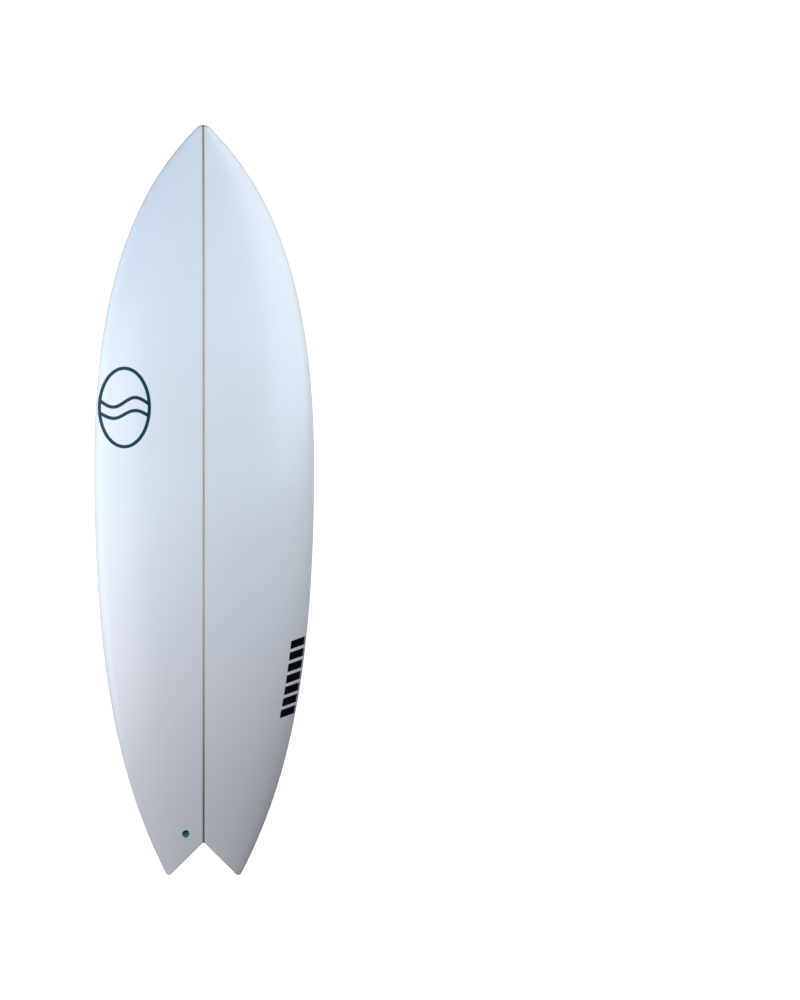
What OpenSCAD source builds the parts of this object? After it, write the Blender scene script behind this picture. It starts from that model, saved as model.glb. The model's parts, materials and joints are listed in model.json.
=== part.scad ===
// Swallow-tail twin-fin surfboard, lying on its bottom. X runs to the right rail, Y to the
// nose and Z up through the deck. The origin is on the floor under the middle of the board.
// A station is a distance from the nose; a lane is a share of the half width, 0 beside the
// stringer and 1 on the rail.

/* [Outline] */
// Length from the nose to the tail tips
board_l = 1727; // [1680:1:1780]
// Greatest width
board_w = 509; // [490:1:530]
// Station of the greatest width
wide_at = 793; // [770:1:815]
// Radius of the nose tip seen from above
nose_r = 22; // [16:1:26]
// Angle between outline and stringer where the nose tip ends
nose_angle = 45.4; // [44:0.1:47]
// Angle between outline and stringer where the tail tips start
tail_angle = 27.7; // [26.5:0.1:29]

/* [Swallow tail] */
// Distance of each tail tip from the stringer
tip_x = 80; // [74:1:86]
// Radius of each tail tip seen from above
tip_r = 8; // [6:0.5:9]
// Angle between the sides of the notch and the stringer
notch_angle = 45.3; // [43:0.1:48]

/* [Rocker and thickness] */
// Station of the lowest and thickest point
low_at = 852; // [830:1:875]
// Height of the bottom at the nose tip
nose_rocker = 104; // [90:1:115]
// Part of the nose rocker that comes in close to the tip
nose_flip = 10; // [4:1:14]
// Height of the bottom at the tail tips
tail_rocker = 73; // [64:1:80]
// Part of the tail rocker that comes in close to the tips
tail_kick = 15; // [8:1:20]
// Greatest thickness
board_t = 66; // [63:0.5:70]
// Thickness at the nose
nose_t = 16; // [14:0.5:19]
// Thickness at the tail tips
tail_t = 14; // [12:0.5:17]

/* [Rails] */
// Height of the rail's edge as a share of the thickness, mid board
apex_mid = 0.34; // [0.3:0.01:0.4]
// The same at the tail
apex_tail = 0.26; // [0.22:0.01:0.3]
// Width of the tucked-under edge, mid board
tuck_mid = 46; // [36:1:54]
// The same at the tail
tuck_tail = 7; // [6:0.5:10]

/* [Core and skin] */
// Thickness of the wooden stringer
stringer_w = 4.4; // [3:0.1:6]
// Thickness of the glass and resin skin
skin_t = 1; // [0.8:0.1:1.2]
// Depth of the printed sheets below the skin's surface
sheet_depth = 0.4; // [0.3:0.05:0.5]
// Thickness of the printed sheets with their resin
sheet_t = 0.15; // [0.1:0.05:0.2]

/* [Fin boxes] */
// Distance of each box from the stringer
box_x = 135; // [130:1:137]
// Station of the middle of the boxes
box_at = 1500; // [1490:1:1505]
// Angle by which the boxes toe in at the front
toe_in = 1.6; // [0:0.1:3]
// Length of the flange
flange_l = 131; // [128:1:132]
// Width of the flange
flange_w = 30; // [27:1:31]
// Thickness of the flange
flange_t = 3; // [2.5:0.1:3.5]
// Length of the moulded body under the flange
body_l = 119; // [117:1:121]
// Width of the moulded body under the flange
body_w = 17; // [15:0.5:18]
// Depth of the box from its face
box_depth = 15.5; // [15:0.5:16.5]
// Length of the fin slot
slot_l = 94; // [92:1:95]
// Width of the fin slot
slot_w = 7; // [6.8:0.1:7.4]
// Depth of the fin slot
slot_depth = 13; // [12.7:0.1:13.2]

/* [Set screws] */
// Distance of each screw from the middle of its box
screw_y = 52.5; // [52:0.5:53]
// Radius of the screws
screw_r = 2.5; // [2.4:0.1:2.6]
// Length of the screws
screw_l = 8; // [7:0.5:9]
// Lean of the screws towards the fin's tab
screw_lean = 40; // [38:1:42]
// Depth of each screw's head along its own axis
screw_sunk = 2.4; // [2.3:0.1:2.8]

/* [Leash plug] */
// Distance from the stringer, on the left
plug_x = 40.5; // [36:0.5:44]
// Station of the plug
plug_at = 1633; // [1625:1:1637]
// Radius of the plug's rim
rim_r = 13.5; // [13:0.5:14.5]
// Radius of the plug's body
cup_r = 11; // [10.5:0.5:11.5]
// Depth of the plug's body
cup_depth = 16; // [14:0.5:17]
// Radius of the hollow
hollow_r = 8.5; // [8:0.5:8.5]
// Depth of the hollow
hollow_depth = 13.5; // [12:0.5:13.5]
// Radius of the leash bar
bar_r = 1.6; // [1.4:0.1:1.8]
// Depth of the leash bar's middle below the rim
bar_depth = 4.6; // [4.2:0.1:5]

/* [Hidden] */

half_w = board_w/2;
half_s = stringer_w/2;
bed_t = 1.2; // resin around a fitting
bore_gap = 0.05; // running clearance of a set screw's thread
eps = 0.01;
cut = 6; // how far a cutting tool stands out of the board

lanes = 10; // lanes from the stringer to the rail
seam_lane = 6; // lane on the bottom where the two skins meet
tip_lane = 7; // lane that meets the start of a tail tip's arc
nose_rows = 5; // rows around the nose tip's arc
main_rows = 26;
tail_rows = 9; // rows that turn from straight across to the notch
rows = nose_rows + main_rows + tail_rows; // number of the last row
tail_from = board_l - 300; // station where the tail rows start

// ---- outline ----

// Centre of the nose tip's arc, and of a tail tip's arc, as stations
nose_c = sqrt(nose_r*nose_r - half_s*half_s);
tip_c = board_l - tip_r;

// The half width falls from the wide point to an end arc as a power curve. Its two weights make
// it touch the arc: drop is the fall in half width, span the distance, slope the slope there.
function weight_q(drop, span, slope, p, q) = (span*slope - drop*p)/(q - p);

nose_end = nose_c - nose_r*sin(nose_angle);
nose_drop = half_w - nose_r*cos(nose_angle);
nose_span = wide_at - nose_end;
nose_p = 2.3;
nose_q = 6;
nose_b = weight_q(nose_drop, nose_span, tan(nose_angle), nose_p, nose_q);

tail_end = tip_c + tip_r*sin(tail_angle);
tail_drop = half_w - tip_x - tip_r*cos(tail_angle);
tail_span = tail_end - wide_at;
tail_p = 2;
tail_q = 4;
tail_b = weight_q(tail_drop, tail_span, tan(tail_angle), tail_p, tail_q);

function power_hw(u, span, drop, b, p, q, inset) =
    let(
        a = drop - b,
        slope = (a*p*pow(u, p - 1) + b*q*pow(u, q - 1))/span
    )
    half_w - a*pow(u, p) - b*pow(u, q) - inset*sqrt(1 + slope*slope);

function arc_w(r, across) = sqrt(max(0, r*r - across*across));

// Half width at station d of a surface that lies inset inside the outer one
function hw(d, inset = 0) =
    d < nose_c - (nose_r - inset)*sin(nose_angle)
        ? max(half_s, arc_w(nose_r - inset, nose_c - d))
    : d < wide_at
        ? power_hw((wide_at - d)/nose_span, nose_span, nose_drop, nose_b, nose_p, nose_q, inset)
    : d < tip_c + (tip_r - inset)*sin(tail_angle)
        ? power_hw((d - wide_at)/tail_span, tail_span, tail_drop, tail_b, tail_p, tail_q, inset)
    : tip_x + arc_w(tip_r - inset, d - tip_c);

// ---- rocker, thickness and section ----

// Distance from the low point as a share of the distance to the board's end
function share(d) = d < low_at ? (low_at - d)/low_at : (d - low_at)/(board_l - low_at);

function rocker(d) =
    let(u = share(d))
    d < low_at
        ? (nose_rocker - nose_flip)*pow(u, 2.6) + nose_flip*pow(u, 16)
        : (tail_rocker - tail_kick)*pow(u, 2.25) + tail_kick*pow(u, 7);

function thickness(d) =
    let(u = share(d))
    d < low_at
        ? board_t - (board_t - nose_t)*pow(u, 2.35)
        : board_t - (board_t - tail_t)*pow(u, 2.65);

function apex_share(d) = d < low_at ? apex_mid : apex_mid + (apex_tail - apex_mid)*share(d);

function tuck_w(d) =
    d < low_at
        ? tuck_mid*hw(d)/half_w
        : tuck_tail + (tuck_mid - tuck_tail)*pow(1 - share(d), 1.5);

// Station where a surface starts at the nose, and the rounding of the nose in side view
function nose_start(inset) = nose_c - arc_w(nose_r - inset, half_s);
nose_round = 12;
function nose_fade(d, inset) =
    let(start = nose_start(inset))
    d >= nose_round ? 1
        : d <= start + eps ? 0
        : sqrt(1 - pow((nose_round - d)/(nose_round - start), 2));

function apex_z(d) = rocker(d) + apex_share(d)*thickness(d);

// Heights of the deck and the bottom at station d and distance x from the middle
function lane_of(x, d, inset) =
    min(1, max(0, (abs(x) - half_s)/max(eps, hw(d, inset) - half_s)));

function deck_z(x, d, inset = 0) =
    let(
        f = lane_of(x, d, inset),
        rise = (1 - apex_share(d))*thickness(d) - inset
    )
    apex_z(d) + rise*nose_fade(d, inset)*pow(1 - pow(f, 2.3), 0.55);

function bottom_z(x, d, inset = 0) =
    let(
        fall = apex_share(d)*thickness(d) - inset,
        out = min(1, max(0, (abs(x) - hw(d, inset) + tuck_w(d))/tuck_w(d)))
    )
    apex_z(d) - fall*nose_fade(d, inset)*sqrt(1 - out*out);

// ---- grid of rows and lanes, seen from above ----

function lane(j) = sin(90*j/lanes);

function mix(a, b, t) = a + (b - a)*t;

// Station of row i, from the nose's arc to the start of the tail rows
function row_station(i, inset) =
    let(
        r = nose_r - inset,
        first = asin(half_s/r),
        arc_end = nose_c - r*sin(nose_angle)
    )
    i <= nose_rows
        ? nose_c - r*cos(mix(first, 90 - nose_angle, pow(i/nose_rows, 1.4)))
        : mix(arc_end, tail_from, pow((i - nose_rows)/main_rows, 1.25));

// Start of a notch side beside the stringer, as a length back along the side from the tip's arc
function notch_side(inset) =
    (tip_x - (tip_r - inset)*cos(notch_angle) - half_s)/sin(notch_angle);

// Tail end of the grid at lane f, as [distance from the middle, station]: the notch side first,
// then the tip's arc round to the rail
function tail_edge(f, inset) =
    let(
        r = tip_r - inset,
        side = notch_side(inset),
        turn = lane(tip_lane)
    )
    f <= turn
        ? let(back = side*(1 - f/turn))
            [tip_x - r*cos(notch_angle) - back*sin(notch_angle),
             tip_c + r*sin(notch_angle) - back*cos(notch_angle)]
        : let(a = mix(180 - notch_angle, tail_angle, (f - turn)/(1 - turn)))
            [tip_x + r*cos(a), tip_c + r*sin(a)];

// Tail rows blend the straight row at tail_from into the tail edge, keeping to the stringer on
// one side and to the rail on the other
function tail_point(v, f, inset) =
    let(
        start_w = hw(tail_from, inset),
        head = [mix(half_s, start_w, f), tail_from],
        edge = tail_edge(f, inset),
        edge0 = tail_edge(0, inset),
        edge1 = tail_edge(1, inset),
        middle = [half_s, mix(tail_from, edge0[1], v)],
        rail_d = mix(tail_from, edge1[1], v),
        rail = [hw(rail_d, inset), rail_d],
        corners = (1 - f)*((1 - v)*[half_s, tail_from] + v*edge0)
            + f*((1 - v)*[start_w, tail_from] + v*edge1)
    )
    (1 - v)*head + v*edge + (1 - f)*middle + f*rail - corners;

// Point of the grid at row i and lane j, as [distance from the middle, station]
function grid_point(i, j, inset) =
    i <= nose_rows + main_rows
        ? let(d = row_station(i, inset)) [mix(half_s, hw(d, inset), lane(j)), d]
        : tail_point((i - nose_rows - main_rows)/tail_rows, lane(j), inset);

// The same point on the deck or the bottom. A rail point is at the height of the rail's edge.
function on_deck(i, j, side, inset) =
    let(g = grid_point(i, j, inset))
    [side*g[0], board_l/2 - g[1], j == lanes ? apex_z(g[1]) : deck_z(g[0], g[1], inset)];

function on_bottom(i, j, side, inset) =
    let(g = grid_point(i, j, inset))
    [side*g[0], board_l/2 - g[1], j == lanes ? apex_z(g[1]) : bottom_z(g[0], g[1], inset)];

// ---- meshes ----

// Two triangles for each cell of a grid whose rows hold n points. The other diagonal is for a
// grid whose lanes run the opposite way to those of the skin over it, so that the cells match.
function strips(row_count, n, other = false) = [
    for (i = [0 : row_count - 2], j = [0 : n - 2], half = [0, 1])
        let(a = i*n + j, b = a + 1, c = a + n, d = c + 1)
        other
            ? (half == 0 ? [a, b, c] : [b, d, c])
            : (half == 0 ? [a, b, d] : [a, d, c])
];

// Two triangles for each step between two lists of point numbers of the same length, without
// those that a shared point at an end would flatten
function ribbon(a, b) = [
    for (k = [0 : len(a) - 2], half = [0, 1])
        let(f = half == 0 ? [a[k], a[k + 1], b[k + 1]] : [a[k], b[k + 1], b[k]])
        if (f[0] != f[1] && f[1] != f[2] && f[2] != f[0]) f
];

function flipped(faces) = [for (f = faces) [f[0], f[2], f[1]]];

// One half of the foam core. A row is a ring: the deck from stringer to rail and the bottom back.
module foam_half(side) {
    ring = 2*lanes + 1;
    points = [
        for (i = [0 : rows])
            each concat(
                [for (j = [0 : lanes]) on_deck(i, j, side, skin_t)],
                [for (j = [lanes - 1 : -1 : 0]) on_bottom(i, j, side, skin_t)]
            )
    ];
    deck_line = [for (i = [0 : rows]) i*ring];
    bottom_line = [for (i = [0 : rows]) i*ring + ring - 1];
    deck_end = [for (j = [0 : lanes]) rows*ring + j];
    bottom_end = [for (j = [0 : lanes]) rows*ring + ring - 1 - j];
    other = side < 0;
    faces = concat(
        strips(rows + 1, ring, other),
        ribbon(deck_line, bottom_line),
        other ? flipped(ribbon(bottom_end, deck_end)) : ribbon(deck_end, bottom_end)
    );
    polyhedron(points, other ? flipped(faces) : faces, convexity = 6);
}

// A row of a skin. Each cell is [lane, side, true on the deck].
function skin_row(i, cells, inset) = [
    for (c = cells)
        c[2] ? on_deck(i, c[0], c[1], inset) : on_bottom(i, c[0], c[1], inset)
];

// A skin from the outer surface to the one skin_t inside it. low is a row of points that the tail
// wall adds at the bottom of the last row, and rim is the loop of point numbers round the sheet.
module skin(cells, low, wall, rim) {
    count = (rows + 1)*len(cells) + len(low);
    points = [
        for (inset = [0, skin_t])
            each concat(
                [for (i = [0 : rows]) each skin_row(i, cells, inset)],
                skin_row(rows, low, inset)
            )
    ];
    sheet = concat(strips(rows + 1, len(cells)), wall);
    back = [for (f = flipped(sheet)) f + [count, count, count]];
    loop = concat(rim, [rim[0]]);
    edge = ribbon(loop, [for (k = loop) k + count]);
    polyhedron(points, concat(sheet, back, edge), convexity = 8);
}

// The bottom skin, from its seam near the right rail to its seam near the left rail
module bottom_skin() {
    cells = concat(
        [for (j = [seam_lane : -1 : 0]) [j, 1, false]],
        [for (j = [0 : seam_lane]) [j, -1, false]]
    );
    n = len(cells);
    rim = concat(
        [for (j = [n - 1 : -1 : 0]) j],
        [for (i = [1 : rows]) i*n],
        [for (j = [1 : n - 1]) rows*n + j],
        [for (i = [rows - 1 : -1 : 1]) i*n + n - 1]
    );
    skin(cells, [], [], rim);
}

// The deck skin laps round both rails to the seams on the bottom and covers the notch's walls
module deck_skin() {
    laps = lanes - seam_lane;
    cells = concat(
        [for (j = [seam_lane : lanes - 1]) [j, -1, false]],
        [for (j = [lanes : -1 : 0]) [j, -1, true]],
        [for (j = [0 : lanes]) [j, 1, true]],
        [for (j = [lanes - 1 : -1 : seam_lane]) [j, 1, false]]
    );
    low = concat(
        [for (j = [seam_lane - 1 : -1 : 0]) [j, -1, false]],
        [for (j = [0 : seam_lane - 1]) [j, 1, false]]
    );
    n = len(cells);
    last = rows*n;
    low_end = [for (k = [0 : len(low) - 1]) last + n + k];
    deck_end = [for (k = [laps : n - 1 - laps]) last + k];
    bottom_end = concat(
        [for (k = [laps : -1 : 0]) last + k],
        low_end,
        [for (k = [n - 1 : -1 : n - 1 - laps]) last + k]
    );
    rim = concat(
        [for (j = [n - 1 : -1 : 0]) j],
        [for (i = [1 : rows]) i*n],
        low_end,
        [for (i = [rows : -1 : 1]) i*n + n - 1]
    );
    skin(cells, low, ribbon(deck_end, bottom_end), rim);
}

// A printed sheet just under the surface, between two of the skin's lanes and two stations
module print_sheet(side, on_top, first_lane, last_lane, from, to) {
    along = 8;
    n = last_lane - first_lane + 1;
    count = n*(along + 1);
    into = on_top ? -1 : 1;
    points = [
        for (depth = [sheet_depth, sheet_depth + sheet_t], i = [0 : along], j = [0 : n - 1])
            let(
                d = mix(from, to, i/along),
                x = mix(half_s, hw(d), lane(first_lane + j)),
                z = on_top ? deck_z(x, d) : bottom_z(x, d)
            )
            [side*x, board_l/2 - d, z + into*depth]
    ];
    sheet = strips(along + 1, n);
    back = [for (f = flipped(sheet)) f + [count, count, count]];
    rim = concat(
        [for (j = [n - 1 : -1 : 0]) j],
        [for (i = [1 : along]) i*n],
        [for (j = [1 : n - 1]) along*n + j],
        [for (i = [along - 1 : -1 : 0]) i*n + n - 1]
    );
    faces = concat(sheet, back, ribbon(rim, [for (k = rim) k + count]));
    polyhedron(points, side*into < 0 ? faces : flipped(faces), convexity = 4);
}

// ---- places of the fittings ----

// Frame of a fin box: origin in the middle of its face, Z into the board, Y forward
box_seat = 0.4; // the flat face sits this far in from the curved bottom at its middle

module at_box(side) {
    slope = (rocker(box_at + 1) - rocker(box_at - 1))/2;
    translate([side*box_x, board_l/2 - box_at, bottom_z(box_x, box_at)])
        rotate([-atan(slope), 0, side*toe_in])
            translate([0, 0, box_seat])
                children();
}

// Frame of a set screw in its box: Z runs down the screw, end is 1 at the front and -1 behind
module at_screw(end) {
    translate([0, end*screw_y, 0])
        rotate([end*screw_lean, 0, 0])
            children();
}

// Frame of the leash plug: origin in the middle of its rim, Z out of the deck
module at_plug() {
    slope_x = (deck_z(plug_x + 1, plug_at) - deck_z(plug_x - 1, plug_at))/2;
    slope_d = (deck_z(plug_x, plug_at + 1) - deck_z(plug_x, plug_at - 1))/2;
    translate([-plug_x, board_l/2 - plug_at, deck_z(plug_x, plug_at)])
        rotate([-atan(slope_d), atan(slope_x), 0])
            children();
}

module obround(length, width, height) {
    straight = length - width;
    translate([-width/2, -straight/2, 0]) cube([width, straight, height]);
    for (end = [-1, 1])
        translate([0, end*straight/2, 0]) cylinder(d = width, h = height, $fn = 64);
}

// Outside of a fin box, grown by its bed
module box_shape(grow = 0) {
    obround(flange_l + 2*grow, flange_w + 2*grow, flange_t + grow);
    obround(body_l + 2*grow, body_w + 2*grow, box_depth + grow);
}

// The same with the space below the face, for cutting
module box_pocket(grow = 0) {
    box_shape(grow);
    translate([0, 0, -cut]) obround(flange_l + 2*grow, flange_w + 2*grow, cut + flange_t);
}

rim_t = 1.6; // thickness of the plug's rim

// Outside of the leash plug, grown by its bed and reaching over above the deck
module plug_shape(grow = 0, over = 0) {
    translate([0, 0, -rim_t - grow]) cylinder(r = rim_r + grow, h = rim_t + grow + over, $fn = 64);
    translate([0, 0, -cup_depth - grow]) cylinder(r = cup_r + grow, h = cup_depth + grow, $fn = 64);
}

// ---- sub-parts ----

module foam_left() {
    color("white")
        difference() {
            foam_half(-1);
            at_box(-1) box_pocket(bed_t);
            at_plug() plug_shape(bed_t, cut);
        }
}

module foam_right() {
    color("white")
        difference() {
            foam_half(1);
            at_box(1) box_pocket(bed_t);
        }
}

module stringer() {
    deck_line = [for (i = [0 : rows]) on_deck(i, 0, 1, skin_t)];
    bottom_line = [for (i = [rows : -1 : 1]) on_bottom(i, 0, 1, skin_t)];
    color("peru")
        translate([-half_s, 0, 0])
            rotate([90, 0, 90])
                linear_extrude(stringer_w)
                    polygon([for (p = concat(deck_line, bottom_line)) [p[1], p[2]]]);
}

module bottom_laminate() {
    color("whitesmoke")
        difference() {
            bottom_skin();
            for (side = [-1, 1])
                at_box(side) box_pocket();
        }
}

module deck_laminate() {
    color("whitesmoke")
        difference() {
            deck_skin();
            for (side = [-1, 1])
                at_box(side) box_pocket();
            at_plug() plug_shape(0, cut);
        }
}

module fin_box(side) {
    bore_l = 14; // from the face, along the screw, to just inside the slot
    color("black")
        at_box(side)
            difference() {
                box_shape();
                translate([-slot_w/2, -slot_l/2, -cut]) cube([slot_w, slot_l, slot_depth + cut]);
                for (end = [-1, 1])
                    at_screw(end)
                        translate([0, 0, -cut])
                            cylinder(r = screw_r + bore_gap, h = bore_l + cut, $fn = 48);
            }
}
module fin_box_left() { fin_box(-1); }
module fin_box_right() { fin_box(1); }

module fin_box_bed(side) {
    color("gainsboro")
        difference() {
            intersection() {
                foam_half(side);
                at_box(side) box_pocket(bed_t);
            }
            at_box(side) box_pocket();
        }
}
module fin_box_bed_left() { fin_box_bed(-1); }
module fin_box_bed_right() { fin_box_bed(1); }

module fin_screw(side, end) {
    socket_r = 1.44; // corner radius of a 2.5 mm hexagon socket
    socket_depth = 3;
    color("silver")
        at_box(side)
            at_screw(end)
                translate([0, 0, screw_sunk])
                    difference() {
                        cylinder(r = screw_r, h = screw_l, $fn = 48);
                        translate([0, 0, -1])
                            cylinder(r = socket_r, h = socket_depth + 1, $fn = 6);
                    }
}
module fin_screw_left_front() { fin_screw(-1, 1); }
module fin_screw_left_rear() { fin_screw(-1, -1); }
module fin_screw_right_front() { fin_screw(1, 1); }
module fin_screw_right_rear() { fin_screw(1, -1); }

bar_turn = 28; // turn of the leash bar from straight across the board
bar_end = 1.5; // length of bar held in the cup's wall at each end

module bar_rod() {
    length = 2*(hollow_r + bar_end);
    translate([0, 0, -bar_depth])
        rotate([90, 0, 90 + bar_turn])
            cylinder(r = bar_r, h = length, center = true, $fn = 48);
}

module leash_cup() {
    color("lightblue")
        at_plug()
            difference() {
                plug_shape();
                translate([0, 0, -hollow_depth])
                    cylinder(r = hollow_r, h = hollow_depth + cut, $fn = 64);
                bar_rod();
            }
}

module leash_bar() {
    color("silver") at_plug() bar_rod();
}

module leash_plug_bed() {
    color("gainsboro")
        difference() {
            intersection() {
                foam_half(-1);
                at_plug() plug_shape(bed_t, cut);
            }
            at_plug() plug_shape(0, cut);
        }
}

module deck_emblem_sheet() {
    color("darkslategray") print_sheet(-1, true, 3, 9, 546, 754);
}

module deck_bars_sheet() {
    color("black") print_sheet(1, true, 5, 9, 1170, 1376);
}

module bottom_emblem_sheet() {
    color("darkslategray") print_sheet(1, false, 3, 9, 482, 698);
}

module bottom_round_sheet() {
    color("black") print_sheet(1, false, 2, 8, 1148, 1306);
}

module bottom_bars_sheet() {
    color("black") print_sheet(-1, false, 4, 8, 1154, 1378);
}

foam_left();
foam_right();
stringer();
bottom_laminate();
deck_laminate();
fin_box_left();
fin_box_right();
fin_box_bed_left();
fin_box_bed_right();
fin_screw_left_front();
fin_screw_left_rear();
fin_screw_right_front();
fin_screw_right_rear();
leash_cup();
leash_bar();
leash_plug_bed();
deck_emblem_sheet();
deck_bars_sheet();
bottom_emblem_sheet();
bottom_round_sheet();
bottom_bars_sheet();
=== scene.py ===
"""A short swallow-tail surfboard in a plain pale studio, laid out as a Blender add-on.

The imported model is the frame: the core, the stringer and the resin beds are its own nodes with
better materials, and the skins, the fittings and the inks are finished pieces made here on the
same surface. X runs to the right rail, Y to the nose and Z up through the deck, in metres.
A station is a distance from the nose. Round a half section, a turn of 0 is beside the stringer on
the deck, a quarter turn is on the rail and a half turn is beside the stringer on the bottom.
"""
import json
import math

import bmesh
import bpy
import numpy as np
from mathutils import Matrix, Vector

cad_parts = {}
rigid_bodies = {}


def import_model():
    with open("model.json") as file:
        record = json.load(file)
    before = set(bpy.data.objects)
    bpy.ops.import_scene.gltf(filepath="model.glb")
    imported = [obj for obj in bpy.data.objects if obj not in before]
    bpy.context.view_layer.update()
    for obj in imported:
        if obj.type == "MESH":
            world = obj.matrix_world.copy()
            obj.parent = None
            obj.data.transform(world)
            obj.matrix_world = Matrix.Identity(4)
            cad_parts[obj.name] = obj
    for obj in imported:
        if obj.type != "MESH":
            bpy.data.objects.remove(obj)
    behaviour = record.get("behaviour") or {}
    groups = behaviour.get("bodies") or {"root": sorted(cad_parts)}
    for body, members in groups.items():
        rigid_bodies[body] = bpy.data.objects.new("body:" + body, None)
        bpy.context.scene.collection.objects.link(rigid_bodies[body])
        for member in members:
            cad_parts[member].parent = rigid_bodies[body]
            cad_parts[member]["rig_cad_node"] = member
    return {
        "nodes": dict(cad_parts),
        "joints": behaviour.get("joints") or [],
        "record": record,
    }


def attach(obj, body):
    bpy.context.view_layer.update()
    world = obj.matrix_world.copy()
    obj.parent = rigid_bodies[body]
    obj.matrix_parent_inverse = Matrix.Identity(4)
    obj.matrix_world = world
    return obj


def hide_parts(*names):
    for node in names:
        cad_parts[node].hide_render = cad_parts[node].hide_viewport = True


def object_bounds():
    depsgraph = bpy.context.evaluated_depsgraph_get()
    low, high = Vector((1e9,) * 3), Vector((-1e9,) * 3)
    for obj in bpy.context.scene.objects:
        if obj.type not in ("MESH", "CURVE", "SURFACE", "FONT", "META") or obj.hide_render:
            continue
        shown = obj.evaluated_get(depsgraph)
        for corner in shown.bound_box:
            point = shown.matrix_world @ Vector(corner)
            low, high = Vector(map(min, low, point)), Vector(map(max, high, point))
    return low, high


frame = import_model()
cad_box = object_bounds()

bl_info = {
    "name": "Swallow-tail Surfboard",
    "version": (1, 0, 0),
    "blender": (4, 5, 0),
    "location": "3D View > Sidebar > Surfboard",
    "description": "Builds a glassed foam surfboard with its fittings and a studio round it",
    "category": "Add Mesh",
}

MM = 0.001
BODY = "board"
SIDES = ("left", "right")
ENDS = ("front", "rear")
SAME_POINT = 1e-6  # points closer than this are one


# ---- settings ----


def length(name, value, description):
    """A length setting, shown in the user's unit."""
    return bpy.props.FloatProperty(
        name=name, description=description, default=value, unit="LENGTH", precision=5
    )


def angle(name, degrees, description):
    """An angle setting, given here in degrees."""
    return bpy.props.FloatProperty(
        name=name, description=description, default=math.radians(degrees), subtype="ANGLE"
    )


def factor(name, value, description, top=1.0):
    """A plain number setting from 0 to top."""
    return bpy.props.FloatProperty(
        name=name, description=description, default=value, min=0.0, max=top
    )


def colour(name, value, description):
    """A linear colour setting."""
    return bpy.props.FloatVectorProperty(
        name=name, description=description, default=value, size=3, subtype="COLOR", min=0, max=1
    )


class SurfboardShape(bpy.types.PropertyGroup):
    """Outline, rocker, thickness and rails, as in the part's design."""

    board_l: length("Length", 1.727, "From the nose to the tail tips")
    board_w: length("Width", 0.509, "Greatest width")
    wide_at: length("Wide point", 0.793, "Station of the greatest width")
    nose_r: length("Nose radius", 0.022, "Radius of the nose tip seen from above")
    nose_angle: angle("Nose angle", 45.4, "Angle to the stringer where the nose tip ends")
    tail_angle: angle("Tail angle", 27.7, "Angle to the stringer where the tail tips start")
    tip_x: length("Tail tip offset", 0.080, "Distance of each tail tip from the stringer")
    tip_r: length("Tail tip radius", 0.008, "Radius of each tail tip seen from above")
    notch_angle: angle("Notch angle", 45.3, "Angle between the notch's sides and the stringer")
    low_at: length("Low point", 0.852, "Station of the lowest and thickest point")
    nose_rocker: length("Nose rocker", 0.104, "Height of the bottom at the nose tip")
    nose_flip: length("Nose flip", 0.010, "Part of the nose rocker close to the tip")
    tail_rocker: length("Tail rocker", 0.073, "Height of the bottom at the tail tips")
    tail_kick: length("Tail kick", 0.015, "Part of the tail rocker close to the tips")
    board_t: length("Thickness", 0.066, "Greatest thickness")
    nose_t: length("Nose thickness", 0.016, "Thickness at the nose")
    tail_t: length("Tail thickness", 0.014, "Thickness at the tail tips")
    apex_mid: factor("Rail edge height", 0.34, "Share of the thickness, mid board")
    apex_tail: factor("Rail edge height, tail", 0.26, "The same at the tail")
    tuck_mid: length("Tuck", 0.046, "Width of the tucked-under edge, mid board")
    tuck_tail: length("Tuck, tail", 0.007, "The same at the tail")
    stringer_w: length("Stringer", 0.0044, "Thickness of the wooden stringer")
    skin_t: length("Skin", 0.0006, "Thickness of the glass and resin skin as it is drawn")
    notch_edge: length("Notch edge", 0.0019, "Radius of the notch wall's upper edge")


class SurfboardFittings(bpy.types.PropertyGroup):
    """Fin boxes, set screws and leash plug."""

    flange_l: length("Flange length", 0.131, "Length of a fin box's flange")
    flange_w: length("Flange width", 0.030, "Width of the flange")
    flange_t: length("Flange thickness", 0.003, "Thickness of the flange")
    body_l: length("Box body length", 0.119, "Length of the body under the flange")
    body_w: length("Box body width", 0.017, "Width of the body under the flange")
    box_depth: length("Box depth", 0.0155, "Depth of the box from its face")
    slot_l: length("Slot length", 0.094, "Length of the fin slot")
    slot_w: length("Slot width", 0.007, "Width of the fin slot")
    slot_depth: length("Slot depth", 0.013, "Depth of the fin slot")
    screw_r: length("Screw radius", 0.0025, "Radius of the set screws")
    screw_l: length("Screw length", 0.008, "Length of the set screws")
    plug_x: length("Plug offset", 0.0405, "Distance of the leash plug from the stringer")
    plug_at: length("Plug station", 1.633, "Station of the leash plug")
    rim_r: length("Plug rim radius", 0.0135, "Radius of the plug's rim")
    rim_t: length("Plug rim thickness", 0.0016, "Thickness of the plug's rim")
    cup_r: length("Cup radius", 0.011, "Radius of the plug's body")
    cup_depth: length("Cup depth", 0.016, "Depth of the plug's body")
    hollow_r: length("Hollow radius", 0.0085, "Radius of the plug's hollow")
    hollow_depth: length("Hollow depth", 0.0135, "Depth of the plug's hollow")
    bar_r: length("Bar radius", 0.0016, "Radius of the leash bar")


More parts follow.
